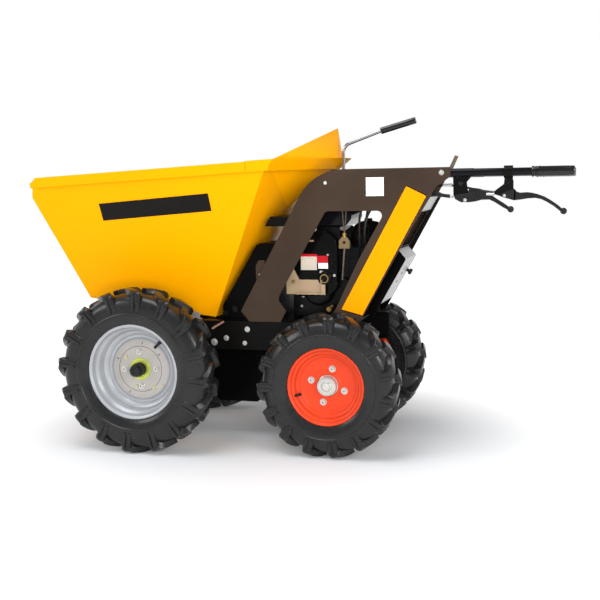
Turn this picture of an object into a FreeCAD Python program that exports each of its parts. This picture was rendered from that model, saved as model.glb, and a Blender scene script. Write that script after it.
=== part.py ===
"""Walk-behind four-wheeled mini dumper: a tipping tub ahead of an engine-driven chassis.

Frame: +X forward (towards the tub), +Y to the machine's left, +Z up, the origin on the
floor under the middle of the whole machine.  All sizes are in millimetres.
"""
import FreeCAD, Part
import math
import os

import Sketcher

Vector = FreeCAD.Vector
Rotation = FreeCAD.Rotation
Placement = FreeCAD.Placement

DOC = FreeCAD.newDocument("mini_dumper")

# ---------------------------------------------------------------------------
# Driving dimensions
# ---------------------------------------------------------------------------
DIMENSIONS = [
    ("front_axle_x", 462.0, "front axle, ahead of the origin"),
    ("rear_axle_x", -98.0, "rear axle, behind the origin"),
    ("front_track", 590.0, "front wheels, centre to centre"),
    ("rear_track", 450.0, "rear wheels, centre to centre"),
    ("front_tyre_radius", 242.5, "over the lugs"),
    ("rear_tyre_radius", 206.5, "over the lugs"),
    ("front_bead_radius", 132.0, "rim seat of the 10-inch wheel"),
    ("rear_bead_radius", 104.0, "rim seat of the 8-inch wheel"),
    ("tyre_width", 112.0, "over the lug ends"),
    ("lug_height", 13.0, "lug above the tread"),
    ("lug_width", 15.0, "lug, front to back"),
    ("front_lugs", 16, "lugs on each side of a front tyre"),
    ("rear_lugs", 15, "lugs on each side of a rear tyre"),
    ("flange_height", 8.0, "rim flange above the bead seat"),
    ("flange_plane", 43.0, "rim flange outboard of the wheel's middle"),
    ("rim_sheet", 4.0, "pressed wheel sheet"),
    ("rim_sides", 20, "flats round a rim"),
    ("hub_sides", 12, "flats round a hub"),
    ("disc_hole_radius", 31.2, "centre hole of the wheel disc"),
    ("front_disc_plane", -15.0, "front disc outboard of the wheel's middle"),
    ("rear_disc_plane", 12.0, "rear disc outboard of the wheel's middle"),
    ("hub_barrel_end", 50.0, "inner end of the hub barrel from the wheel's middle"),
    ("stub_length", 40.0, "stub shaft inside the axle housing"),
    ("stub_radius", 16.0, "stub shaft"),
    ("running_fit", 0.06, "stub shaft in its bore, and hinge pin in its ears"),
    ("axle_tube_radius", 27.0, "axle housing"),
    ("plate_outer_y", 160.0, "outer face of a side plate"),
    ("plate_sheet", 4.0, "side plate sheet"),
    ("plate_foot_z", 374.0, "bottom of the side plates, on the rails"),
    ("plate_top_z", 818.0, "top edge of the side plates"),
    ("plate_corner_radius", 150.0, "front top corner of the side plates"),
    ("plate_lip", 20.0, "folded lip along the top of a side plate"),
    ("rail_low_z", 288.0, "bottom of the chassis rails"),
    ("rail_rear_x", -200.0, "rear end of the chassis rails"),
    ("rail_front_x", 622.0, "front end of the chassis rails"),
    ("rail_width", 35.0, "flange width of the rail channel"),
    ("rail_sheet", 5.0, "rail channel sheet"),
    ("deck_thickness", 6.0, "engine deck plate"),
    ("hinge_x", 592.0, "tub hinge pin, ahead of the origin"),
    ("hinge_z", 385.0, "tub hinge pin above the floor"),
    ("hinge_pin_radius", 10.0, "tub hinge pin"),
    ("tub_sheet", 3.0, "tub sheet"),
    ("tub_half_width", 330.0, "tub at the rim"),
    ("rim_fold", 12.0, "width of the turned rim at the sides"),
    ("rim_drop", 29.0, "height of the turned rim"),
    ("rim_joint_x", 101.0, "joint between the side rims and the rear collar"),
    ("rear_lean", 29.7, "lean of the rear panel from upright, in degrees"),
    ("handle_tube_radius", 11.0, "handlebar tube"),
    ("handle_sleeve_radius", 12.0, "thick front end of a handlebar"),
    ("handle_z", 802.0, "handlebar axis"),
    ("handle_y", 141.0, "handlebar axis from the middle plane"),
    ("grip_end_x", -785.0, "rear end of the grips"),
    ("grip_length", 132.0, "handlebar grip"),
    ("grip_radius", 14.5, "handlebar grip"),
    ("gear_rod_radius", 5.0, "gear lever rod"),
    ("gear_y", 100.0, "gear lever from the middle plane"),
    ("cable_radius", 3.0, "outer sheath of a Bowden cable"),
]

SHEET = DOC.addObject("Spreadsheet::Sheet", "Sizes")
for row, (alias, value, note) in enumerate(DIMENSIONS, start=1):
    SHEET.set("A%d" % row, alias)
    SHEET.set("B%d" % row, str(value))
    SHEET.set("C%d" % row, note)
    SHEET.setAlias("B%d" % row, alias)
DOC.recompute()


def size(alias):
    """Return a driving dimension from the sheet."""
    return float(SHEET.get(alias))


PARTS = []


# ---------------------------------------------------------------------------
# Helpers
# ---------------------------------------------------------------------------
def new_body(name, place=(0, 0, 0)):
    """Start a sub-part as a PartDesign body at its own place."""
    body = DOC.addObject("PartDesign::Body", name)
    body.Label = name
    body.Placement = Placement(Vector(*place), Rotation())
    PARTS.append(body)
    return body


def origin_feature(body, role):
    """Return one of the body's own origin planes or axes."""
    return [item for item in body.Origin.OriginFeatures if item.Role == role][0]


def new_sketch(body, plane, lift=0.0, turn=Rotation()):
    """Attach an empty sketch to one of the body's origin planes, lifted along its normal."""
    sketch = body.newObject("Sketcher::SketchObject", body.Name + "_sketch")
    sketch.AttachmentSupport = [(origin_feature(body, plane), "")]
    sketch.MapMode = "FlatFace"
    sketch.AttachmentOffset = Placement(Vector(0, 0, lift), turn)
    return sketch


def draw_polygon(sketch, points, bound=None):
    """Draw a closed polygon; bound maps (corner, 'x' or 'y') to a sheet expression."""
    first = sketch.GeometryCount
    count = len(points)
    for index, start in enumerate(points):
        end = points[(index + 1) % count]
        sketch.addGeometry(Part.LineSegment(Vector(start[0], start[1], 0), Vector(end[0], end[1], 0)), False)
    for index in range(count):
        following = first + (index + 1) % count
        sketch.addConstraint(Sketcher.Constraint("Coincident", first + index, 2, following, 1))
    for (corner, axis), expression in (bound or {}).items():
        kind = "DistanceX" if axis == "x" else "DistanceY"
        value = points[corner][0] if axis == "x" else points[corner][1]
        number = sketch.addConstraint(Sketcher.Constraint(kind, -1, 1, first + corner, 1, value))
        sketch.setExpression("Constraints[%d]" % number, expression)


def draw_circle(sketch, centre, radius, expression=None):
    """Draw a circle, its radius bound to the sheet where an expression is given."""
    number = sketch.addGeometry(Part.Circle(Vector(centre[0], centre[1], 0), Vector(0, 0, 1), radius), False)
    if expression:
        constraint = sketch.addConstraint(Sketcher.Constraint("Radius", number, radius))
        sketch.setExpression("Constraints[%d]" % constraint, expression)


def pad(body, sketch, length, symmetric=False, reverse=False, expression=None):
    """Pad a sketch into the body."""
    feature = body.newObject("PartDesign::Pad", body.Name + "_pad")
    feature.Profile = sketch
    feature.Length = length
    feature.Midplane = symmetric
    feature.Reversed = reverse
    if expression:
        feature.setExpression("Length", expression)
    return feature


def pocket(body, sketch, length, symmetric=True, reverse=False):
    """Cut a sketch out of the body and make sure that it removed something."""
    DOC.recompute()
    before = body.Shape.Volume
    feature = body.newObject("PartDesign::Pocket", body.Name + "_pocket")
    feature.Profile = sketch
    feature.Length = length
    feature.Midplane = symmetric
    feature.Reversed = reverse
    DOC.recompute()
    if body.Shape.Volume >= before:
        raise RuntimeError("pocket cuts nothing in " + body.Label)
    return feature


def revolve(body, sketch, axis="H_Axis"):
    """Revolve a sketch a full turn round one of its own axes."""
    feature = body.newObject("PartDesign::Revolution", body.Name + "_revolve")
    feature.Profile = sketch
    feature.ReferenceAxis = (sketch, [axis])
    feature.Angle = 360
    return feature


def box(body, low, high, bound=None):
    """Pad a plain rectangle between two corners of a box."""
    sketch = new_sketch(body, "XY_Plane", low[2])
    corners = [(low[0], low[1]), (high[0], low[1]), (high[0], high[1]), (low[0], high[1])]
    draw_polygon(sketch, corners, bound)
    return pad(body, sketch, high[2] - low[2])


def rod(body, plane, lift, centre, radius, length, expression=None):
    """Pad a round rod square to one of the body's origin planes."""
    sketch = new_sketch(body, plane, lift)
    draw_circle(sketch, centre, radius, expression)
    return pad(body, sketch, length)


def feature_part(name, shape, place=(0, 0, 0), turn=Rotation()):
    """Add a sub-part whose form was made with Part's own functions, at its own place."""
    part = DOC.addObject("Part::Feature", name)
    part.Label = name
    part.Shape = shape
    part.Placement = Placement(Vector(*place), turn)
    PARTS.append(part)
    return part


def draw_outline(sketch, corners):
    """Draw a closed outline through (across, up, radius) corners, rounding those with a radius."""
    count = len(corners)
    joints = []
    for index, (across, up, radius) in enumerate(corners):
        here = Vector(across, up, 0)
        before = Vector(corners[index - 1][0], corners[index - 1][1], 0)
        after = Vector(corners[(index + 1) % count][0], corners[(index + 1) % count][1], 0)
        if not radius:
            joints.append((here, None, here))
            continue
        back = (before - here).normalize()
        ahead = (after - here).normalize()
        half = back.getAngle(ahead) / 2.0
        middle = (back + ahead).normalize()
        reach = radius / math.tan(half)
        crown = here + middle * (radius / math.sin(half) - radius)
        joints.append((here + back * reach, crown, here + ahead * reach))
    for index, (first, crown, last) in enumerate(joints):
        if crown is not None:
            sketch.addGeometry(Part.Arc(first, crown, last), False)
        sketch.addGeometry(Part.LineSegment(last, joints[(index + 1) % count][0]), False)


def outline_pad(body, corners, middle_y, thickness):
    """Pad an outline in the upright fore-and-aft plane, centred on a distance from the middle plane."""
    sketch = new_sketch(body, "XZ_Plane", -middle_y)
    draw_outline(sketch, corners)
    return pad(body, sketch, thickness, symmetric=True)


def ring_point(along, radius, angle):
    """Return a point at a radius and an angle round the cross axis."""
    return Vector(radius * math.sin(angle), along, radius * math.cos(angle))


def solid_of(polygons):
    """Close flat polygons into a solid."""
    faces = []
    for corners in polygons:
        faces.append(Part.Face(Part.makePolygon(corners + corners[:1])))
    shell = Part.Shell(faces)
    shell.sewShape()
    solid = Part.Solid(shell)
    if solid.Volume < 0:
        solid.reverse()
    return solid


def faceted_ring(profile, sides):
    """Turn a closed (along, radius) profile round the cross axis into a ring with flat sides."""
    pitch = 2.0 * math.pi / sides
    polygons = []
    for number in range(sides):
        first = (number - 0.5) * pitch
        second = (number + 0.5) * pitch
        for index, (along, radius) in enumerate(profile):
            next_along, next_radius = profile[(index + 1) % len(profile)]
            corners = [ring_point(along, radius, first), ring_point(next_along, next_radius, first)]
            if next_radius > 0:
                corners.append(ring_point(next_along, next_radius, second))
            if radius > 0:
                corners.append(ring_point(along, radius, second))
            if len(corners) > 2:
                polygons.append(corners)
    return solid_of(polygons)


def faceted_sweep(points, radius, sides):
    """Sweep a flat-sided section along straight runs with mitred corners."""
    path = [Vector(*point) for point in points]
    heading = (path[1] - path[0]).normalize()
    across = heading.cross(Vector(0, 1, 0)).normalize()
    upright = heading.cross(across).normalize()
    reach = radius / math.cos(math.pi / sides)
    ring = []
    for number in range(sides):
        angle = (number + 0.5) * 2.0 * math.pi / sides
        ring.append(path[0] + across * (reach * math.cos(angle)) + upright * (reach * math.sin(angle)))
    rings = [ring]
    for index in range(1, len(path)):
        heading = (path[index] - path[index - 1]).normalize()
        normal = heading
        if index < len(path) - 1:
            normal = (heading + (path[index + 1] - path[index]).normalize()).normalize()
        rings.append([corner + heading * ((path[index] - corner).dot(normal) / heading.dot(normal))
                      for corner in rings[-1]])
    polygons = [rings[0], rings[-1]]
    for first, second in zip(rings, rings[1:]):
        for number in range(sides):
            following = (number + 1) % sides
            polygons.append([first[number], first[following], second[following], second[number]])
    return solid_of(polygons)


def prism(corners, middle_y, thickness):
    """Return an upright fore-and-aft outline with flat corners, centred on a distance from the middle plane."""
    start = [Vector(x, middle_y - thickness / 2.0, z) for x, z in corners]
    return Part.Face(Part.makePolygon(start + start[:1])).extrude(Vector(0, thickness, 0))


def knob(place, radius, sides=10):
    """Return a flat-sided ball."""
    low = radius * 0.7
    ball = faceted_ring([(-radius, 0), (-low, low), (0, radius), (low, low), (radius, 0)], sides)
    ball.translate(Vector(*place))
    return ball


def half_space_cut(shape, point, normal):
    """Cut away everything on the normal's side of a plane."""
    direction = Vector(*normal).normalize()
    cutter = Part.makeBox(4000, 4000, 4000, Vector(-2000, -2000, 0))
    cutter.Placement = Placement(Vector(*point), Rotation(Vector(0, 0, 1), direction))
    return shape.cut(cutter)


def plane_facing(first, second, third, inside):
    """Return a point and the unit normal that faces away from an inside point."""
    a, b, c = Vector(*first), Vector(*second), Vector(*third)
    normal = (b - a).cross(c - a).normalize()
    if (a - Vector(*inside)).dot(normal) < 0:
        normal = normal * -1
    return a, normal


# ---------------------------------------------------------------------------
# Wheels
# ---------------------------------------------------------------------------
def build_tyre(name, place, radius, bead, lugs):
    """Lugged tyre: a carcass with flat sides, two to a lug, and staggered half-lugs fused to it."""
    half = size("tyre_width") / 2.0
    tread = radius - size("lug_height")
    sides = 2 * lugs
    apothem = math.cos(math.pi / sides)
    clear = 0.4
    bore = (bead + clear) / apothem
    lip = (bead + size("flange_height") + clear) / apothem
    seat = size("flange_plane") - size("rim_sheet") - 0.3
    depth = tread - lip
    right = [(seat, bore), (seat, lip), (half - 2, lip + 0.5 * depth), (half - 14, tread - 1.5)]
    profile = right + [(-along, reach) for along, reach in reversed(right)]
    carcass = faceted_ring(profile, sides)
    flat = tread * math.sin(math.pi / sides) - 0.5
    width = size("lug_width")
    low = tread - 28
    lugs_made = []
    for side, shift in ((1, 0.0), (-1, 0.5)):
        corners = [Vector(flat - width, side * 4, low), Vector(flat, side * 4, low),
                   Vector(width - flat, side * half, low), Vector(-flat, side * half, low)]
        lug = Part.Face(Part.makePolygon(corners + corners[:1])).extrude(Vector(0, 0, radius - low))
        for number in range(lugs):
            copy = lug.copy()
            copy.rotate(Vector(0, 0, 0), Vector(0, 1, 0), (number + shift) * 360.0 / lugs)
            lugs_made.append(copy)
    feature_part(name, carcass.fuse(lugs_made).Solids[0], place)


def build_rim(name, place, outward, bead, disc_plane):
    """Pressed steel wheel: a barrel with two flanges and a dished disc."""
    flange = size("flange_plane")
    lip = bead + size("flange_height")
    sheet = size("rim_sheet")
    inner = bead - sheet
    hole = size("disc_hole_radius")
    profile = [
        (-flange, lip), (-flange + sheet, lip), (-flange + sheet, bead), (flange - sheet, bead),
        (flange - sheet, lip), (flange, lip), (flange, inner), (disc_plane + 12, inner),
        (disc_plane, inner - 16), (disc_plane, hole), (disc_plane - sheet, hole),
        (disc_plane - sheet, inner), (-flange, inner),
    ]
    rim = faceted_ring([(outward * along, radius) for along, radius in profile], int(size("rim_sides")))
    feature_part(name, rim, place)


def build_hub(name, place, outward, disc_plane, cap_radius, cap_reach):
    """Hub: a flange behind the disc, a barrel, a cap in front and the stub shaft."""
    end = size("hub_barrel_end")
    sheet = size("rim_sheet")
    back = disc_plane - sheet
    profile = [
        (-end, 0), (-end, 30), (back - 8, 30), (back - 8, 62), (back, 62), (back, 28),
        (disc_plane + cap_reach - 5, cap_radius), (disc_plane + cap_reach, cap_radius - 5),
        (disc_plane + cap_reach, 0),
    ]
    hub = faceted_ring([(outward * along, radius) for along, radius in profile], int(size("hub_sides")))
    stub = Part.makeCylinder(size("stub_radius"), size("stub_length") + 10,
                             Vector(0, outward * (10 - end), 0), Vector(0, -outward, 0))
    feature_part(name, hub.fuse(stub).Solids[0], place)


def build_wheels():
    """Four wheels: tyre, rim and hub each."""
    for end, cap, reach in (("front", 24.0, 22.0), ("rear", 28.0, 28.0)):
        radius = size(end + "_tyre_radius")
        bead = size(end + "_bead_radius")
        disc = size(end + "_disc_plane")
        for side, outward in (("left", 1), ("right", -1)):
            place = (size(end + "_axle_x"), outward * size(end + "_track") / 2.0, radius)
            build_tyre("tyre_%s_%s" % (end, side), place, radius, bead, int(size(end + "_lugs")))
            build_rim("rim_%s_%s" % (end, side), place, outward, bead, disc)
            build_hub("hub_%s_%s" % (end, side), place, outward, disc, cap, reach)


def build_axles():
    """Axle housings with a blind bore at each end for the stub shafts."""
    for end in ("front", "rear"):
        body = new_body("axle_" + end, (size(end + "_axle_x"), 0, size(end + "_tyre_radius")))
        profile = new_sketch(body, "YZ_Plane")
        reach = size(end + "_track") / 2.0 - size("hub_barrel_end") - 1
        bottom = reach - size("stub_length") - 5
        bore = size("stub_radius") + size("running_fit")
        tube = size("axle_tube_radius")
        draw_polygon(profile, [(-bottom, 0), (-bottom, bore), (-reach, bore), (-reach, tube),
                               (reach, tube), (reach, bore), (bottom, bore), (bottom, 0)])
        revolve(body, profile)


# ---------------------------------------------------------------------------
# Chassis
# ---------------------------------------------------------------------------
def build_rails():
    """Channel-section chassis rails with the axle hangers welded below."""
    low = size("rail_low_z")
    high = size("plate_foot_z")
    sheet = size("rail_sheet")
    outer = size("plate_outer_y")
    inner = outer - size("rail_width")
    for side, outward in (("left", 1), ("right", -1)):
        body = new_body("chassis_rail_" + side)
        section = new_sketch(body, "YZ_Plane", size("rail_rear_x"))
        corners = [(inner, low), (outer, low), (outer, high), (inner, high), (inner, high - sheet),
                   (outer - sheet, high - sheet), (outer - sheet, low + sheet), (inner, low + sheet)]
        draw_polygon(section, [(outward * y, z) for y, z in corners])
        pad(body, section, size("rail_front_x") - size("rail_rear_x"),
            expression="Sizes.rail_front_x - Sizes.rail_rear_x")
        for end, spread in (("front", 62), ("rear", 70)):
            hanger = new_sketch(body, "XZ_Plane", -outward * (outer - 10))
            x = size(end + "_axle_x")
            z = size(end + "_tyre_radius")
            draw_polygon(hanger, [(x - spread, low + 2), (x - 34, z - 34), (x + 34, z - 34),
                                  (x + spread, low + 2)])
            seat = (size("axle_tube_radius") + 0.2) / math.cos(math.pi / 16)
            draw_polygon(hanger, [(x + seat * math.sin(turn), z + seat * math.cos(turn))
                                  for turn in (2 * math.pi * (number + 0.5) / 16 for number in range(16))])
            pad(body, hanger, 8, symmetric=True)


def plate_corners(tab):
    """Corners of a side plate with its window, open at the bottom; the left one has a rear tab."""
    foot = size("plate_foot_z")
    top = size("plate_top_z")
    front = [(161, foot, 0), (187, foot + 31, 0), (151, 469, 0), (-41, top, size("plate_corner_radius"))]
    if tab:
        rear = [(-432, top, 0), (-435, top - 3, 0), (-435, 792, 0), (-410, 774, 0), (-394, 765, 0),
                (-386, 753, 0), (-381, 739, 0), (-327, 652, 0), (-205, 434, 0), (-173, foot, 0)]
    else:
        rear = [(-397, top, 12), (-173, foot + 32, 0), (-156, foot, 0)]
    window = [(-72, foot, 0), (-104, 416, 0), (-175, 563, 0), (-252, 699, 14), (-77, 699, 14),
              (57, 470, 0), (68, 448, 0), (68, 436, 0), (46, 408, 0), (64, foot, 0)]
    return front + rear + window


def build_side_plates():
    """Two sheet plates that carry the handles and stand on the rails."""
    sheet = size("plate_sheet")
    lip = size("plate_lip")
    top = size("plate_top_z")
    inner = size("plate_outer_y") - sheet
    for side, outward in (("left", 1), ("right", -1)):
        body = new_body("side_plate_" + side)
        outline = new_sketch(body, "XZ_Plane", -outward * (inner + sheet / 2.0))
        draw_outline(outline, plate_corners(side == "left"))
        draw_circle(outline, (-77, 780), 5.0)
        pad(body, outline, sheet, symmetric=True, expression="Sizes.plate_sheet")
        fold = new_sketch(body, "YZ_Plane", -360)
        draw_polygon(fold, [(outward * (inner + 1), top - sheet), (outward * (inner + 1), top),
                            (outward * (inner - lip), top), (outward * (inner - lip), top - sheet)])
        pad(body, fold, 220)


def build_panels():
    """Engine deck, the console between the plates, and the leaning rear panel that holds the guard box."""
    foot = size("plate_foot_z")
    inside = size("plate_outer_y") - size("plate_sheet") - 0.2
    deck = new_body("engine_deck")
    box(deck, (-165, -inside, foot + 0.1), (252, inside, foot + 0.1 + size("deck_thickness")))
    console = new_body("console_panel")
    box(console, (-358, -inside, 803), (-95, inside, 806))
    slot = new_sketch(console, "XY_Plane", 804.5)
    y = size("gear_y")
    draw_polygon(slot, [(-170, y - 8), (-108, y - 8), (-108, y + 8), (-170, y + 8)])
    pocket(console, slot, 20)
    lean = Placement(Vector(-155.6, 0, 383.9), Rotation(Vector(0, 1, 0), -size("rear_lean")))
    panel = new_body("rear_panel")
    panel.Placement = lean
    box(panel, (0, -inside, -3), (3, inside, 404))
    opening = new_sketch(panel, "YZ_Plane", 1.5)
    draw_polygon(opening, [(-120, 236), (120, 236), (120, 352), (-120, 352)])
    pocket(panel, opening, 20)
    for side in (1, -1):
        outline_pad(panel, [(-38, 23, 4), (-38, 221, 5), (-6, 233, 0), (1, 233, 0), (1, 23, 0)], side * 88.7, 3)
    guard = new_body("rear_guard")
    guard.Placement = lean
    outline_pad(guard, [(-38, 66, 5), (-38, 221, 5), (-6, 233, 0), (-0.1, 233, 0), (-0.1, 66, 0)], 0, 174)


def build_beams():
    """Cross members between the rails: under the tub, over the gearbox, and the bar behind the tub."""
    inside = size("plate_outer_y") - size("rail_sheet") - 0.1
    low = size("rail_low_z") + size("rail_sheet") + 0.2
    high = size("plate_foot_z") - size("rail_sheet") - 0.2
    rest = new_body("tub_rest")
    box(rest, (296, -inside, low), (334, inside, high))
    box(rest, (298, -57, high - 1), (317, 57, 377.4))
    carrier = new_body("gearbox_beam")
    box(carrier, (205, -inside, low), (255, inside, low + 30))
    gearbox = new_body("gearbox")
    outline_pad(gearbox, [(140, 140, 0), (168, 112, 0), (292, 112, 0), (320, 140, 0), (320, 262, 0),
                          (292, low - 0.1, 0), (168, low - 0.1, 0), (140, 262, 0)], 0, 160)
    guard = new_body("belt_guard")
    deck_top = size("plate_foot_z") + 0.2 + size("deck_thickness")
    outline_pad(guard, [(78, 606, 0), (128, 606, 0), (138, 600, 0), (247, 420, 0), (247, deck_top, 0),
                        (78, deck_top, 0)], 0, 300)
    bar = new_body("crossbar")
    inner = size("plate_outer_y") - size("plate_sheet") - 0.2
    outline_pad(bar, [(22, 656, 0), (109, 656, 0), (91, 684, 0), (22, 684, 0)], 0, 2 * inner)
    latch = new_body("tub_latch")
    base = size("plate_foot_z")
    box(latch, (323, 128, base + 0.1), (365, 158, base + 3))
    box(latch, (326, 140, base + 2), (362, 144, base + 23))


def build_hinge_bracket():
    """Front cross beam with the two ears that hold the tub's hinge pin."""
    x = size("hinge_x")
    z = size("hinge_z")
    inside = size("plate_outer_y") - size("rail_sheet") - 0.1
    body = new_body("hinge_bracket")
    box(body, (x - 20, -inside, size("rail_low_z") + 5.2), (x + 25, inside, 340))
    for side in (1, -1):
        ear = new_sketch(body, "XZ_Plane", -side * 90)
        draw_polygon(ear, [(x - 20, 335), (x + 20, 335), (x + 20, z + 5), (x + 8, z + 18), (x - 8, z + 18),
                           (x - 20, z + 5)])
        draw_circle(ear, (x, z), size("hinge_pin_radius") + size("running_fit"))
        pad(body, ear, 10, symmetric=True)


# ---------------------------------------------------------------------------
# Tub
# ---------------------------------------------------------------------------
RIM_POINT = (102.0, 0.0, 841.0)
RIM_NORMAL = (0.0509, 0.0, 1.0)
TUB_INSIDE = (400, 0, 650)


def tub_faces():
    """Outer faces of the tub by name, each as a point and an outward normal."""
    half = size("tub_half_width")
    faces = {"floor": [((290, 0, 377), (693, 0, 434), (290, 90, 377))],
             "front": [((693, 0, 434), (785, 0, 750), (693, 90, 434))],
             "lip": [((785, 0, 750), (771, 0, 790), (785, 90, 750)),
                     ((771, 0, 790), (750, 0, 808), (771, 90, 790))],
             "low": [((85, 0, 705), (290, 0, 377), (85, 90, 705))],
             "nose": [((85, 0, 705), (-84, 0, 850.5), (85, 90, 705))],
             "side": [], "high": []}
    for side in (1, -1):
        corner = (40, side * half, 844.2)
        faces["side"].append((corner, (290, side * 100, 377), (750, side * half, 808)))
        faces["low"].append((corner, (290, side * 100, 377), (85, 0, 705)))
        faces["high"].append((corner, (-84, side * 35, 850.5), (85, 0, 705)))
    return {name: [plane_facing(*three, TUB_INSIDE) for three in group] for name, group in faces.items()}


def tub_form(growth):
    """Return the tub's closed form, each named face moved outwards by its growth."""
    faces = tub_faces()
    form = Part.makeBox(1300, 1000, 800, Vector(-300, -500, 300))
    wedges = {}
    for name in ("floor", "front", "lip", "side"):
        for point, normal in faces[name]:
            form = half_space_cut(form, point + normal * growth[name], normal)
    for label, names in (("lower", ("low",)), ("upper", ("high", "nose"))):
        wedge = form
        for name in names:
            for point, normal in faces[name]:
                wedge = half_space_cut(wedge, point + normal * growth[name], normal)
        wedges[label] = wedge
    return wedges["lower"].fuse(wedges["upper"]).removeSplitter()


def even(growth):
    """Return the same growth for every face of the tub."""
    return {name: growth for name in tub_faces()}


def fold_growth(width):
    """Return the growth that makes the outer form of the turned rim."""
    nose = 1.1 * size("rim_fold")
    return {"floor": 0.0, "front": 0.0, "lip": 0.0, "side": width, "low": width, "high": width + 2,
            "nose": width + nose - size("rim_fold")}


def below_rim(shape, drop):
    """Keep what is below the rim's plane, lowered by a drop."""
    return half_space_cut(shape, Vector(*RIM_POINT) - Vector(0, 0, drop), RIM_NORMAL)


def above_rim(shape, drop):
    """Keep what is above the rim's plane, lowered by a drop."""
    return half_space_cut(shape, Vector(*RIM_POINT) - Vector(0, 0, drop), (-RIM_NORMAL[0], 0, -RIM_NORMAL[2]))


def turned_rim(width, raise_by):
    """Return the folded edge: a flange outwards from the wall and a lip down from it."""
    sheet = size("tub_sheet")
    band = below_rim(tub_form(fold_growth(width)), -raise_by)
    band = above_rim(band, size("rim_drop"))
    under = below_rim(tub_form(fold_growth(width - sheet)), sheet - raise_by)
    return band.cut(tub_form(even(0.0))).cut(under)


def build_tub():
    """Tub of folded sheet: walls, turned rim, rear collar and the raised splash guard."""
    outer = below_rim(tub_form(even(0.0)), 0)
    feature_part("tub_shell", outer.cut(tub_form(even(-size("tub_sheet")))))
    joint = size("rim_joint_x")
    sides = half_space_cut(turned_rim(size("rim_fold"), 0.0), (joint + 1, 0, 0), (-1, 0, 0))
    feature_part("tub_rim", sides)
    collar = half_space_cut(turned_rim(size("rim_fold") + 1.5, 1.5), (joint, 0, 0), (1, 0, 0))
    feature_part("tub_rim_rear", collar)
    build_splash_guard()
    build_underframe()


def build_splash_guard():
    """Raised guard on the back of the rim: two walls and a narrow back folded to one point."""
    sheet = size("tub_sheet")
    apex = (-78, 0, 942)
    inside = (20, 0, 870)
    walls = [plane_facing(apex, (-84, 33, 850), (-84, -33, 850), inside)]
    for side in (1, -1):
        walls.append(plane_facing(apex, (-84, side * 33, 850), (35, side * 318, 844), inside))
    slope = plane_facing(apex, (35, 318, 844), (35, -318, 844), (-60, 0, 860))
    block = above_rim(Part.makeBox(300, 800, 200, Vector(-150, -400, 800)), -1.6)
    outer = half_space_cut(block, slope[0], slope[1])
    inner = block
    for point, normal in walls:
        outer = half_space_cut(outer, point, normal)
        inner = half_space_cut(inner, point - normal * sheet, normal)
    feature_part("tub_splash_guard", outer.cut(inner))


def build_underframe():
    """Two runners under the floor, joined by the hinge pin."""
    x = size("hinge_x")
    z = size("hinge_z")
    rise = (434.0 - 377.0) / (693.0 - 290.0)
    body = new_body("tub_underframe")
    for side in (1, -1):
        rear_top = 376.8 + rise * (345 - 290)
        front_top = 376.8 + rise * (628 - 290)
        outline_pad(body, [(345, 374, 0), (345, rear_top, 0), (628, front_top, 0), (628, z + 12, 0),
                           (x + 14, z - 8, 0), (x + 7, z - 15, 0), (x - 7, z - 15, 0), (x - 14, z - 8, 0),
                           (x - 60, 374, 0)], side * 70, 12)
    rod(body, "XZ_Plane", -98, (x, z), size("hinge_pin_radius"), 196, "Sizes.hinge_pin_radius")


# ---------------------------------------------------------------------------
# Engine
# ---------------------------------------------------------------------------
def build_engine():
    """Engine on the deck: crankcase, head with carburettor and intake, shroud, tank and air filter."""
    deck = size("plate_foot_z") + 0.1 + size("deck_thickness")
    block = new_body("engine_block")
    outline_pad(block, [(-145, deck, 0), (50, deck, 0), (50, 470, 20), (20, 500, 10), (-112, 500, 10),
                        (-145, 470, 20)], -10, 160)
    head = new_body("engine_head")
    box(head, (-98, -85, 500.1), (30, 69.8, 649.9))
    box(head, (-150, -30, 500.1), (-97, 60, 557))
    box(head, (-195, 18, 556), (-97, 54, 589.9))
    shroud = new_body("engine_shroud")
    outline_pad(shroud, [(-95, 470, 0), (-70, 444, 0), (32, 444, 0), (58, 470, 0), (58, 642, 52),
                         (-95, 642, 52)], 82.6, 25)
    tank = new_body("fuel_tank")
    outline_pad(tank, [(-110, 650, 0), (4, 650, 0), (14, 676, 0), (8, 698, 12), (-124, 698, 14),
                       (-131, 676, 0)], -20, 160)
    filter_body = faceted_ring([(590, 0), (590, 56), (626, 56), (654, 45), (671, 24), (675, 0)], 16)
    feature_part("air_filter", filter_body, (-176, 34, 0), Rotation(Vector(1, 0, 0), 90))


def build_linkage():
    """Gear linkage beside the engine, and the plated control plate on the shroud."""
    y = size("gear_y")
    plate = new_body("control_plate")
    outline_pad(plate, [(-47, 451, 0), (62, 451, 0), (62, 538, 0), (44, 538, 0), (22, 495, 0), (-47, 495, 0)],
                98.5, 3)
    box(plate, (-50, 95.3, 451), (-47, 113, 495))
    clevis = prism([(-134, 588), (-102, 588), (-102, 612), (-110, 622), (-126, 622), (-134, 612)], y, 8)
    ferrule = faceted_sweep([(-118, y, 606), (-118, y, 631)], 6.5, 8)
    pull_rod = faceted_sweep([(-118, y, 596), (-116, y, 500)], 4, 8)
    arm = prism([(-124, 492), (-60, 492), (-52, 498), (-52, 508), (-60, 513), (-124, 506)], y, 8.8)
    feature_part("gear_link", clevis.fuse([ferrule, pull_rod, arm]).Solids[0])


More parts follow.
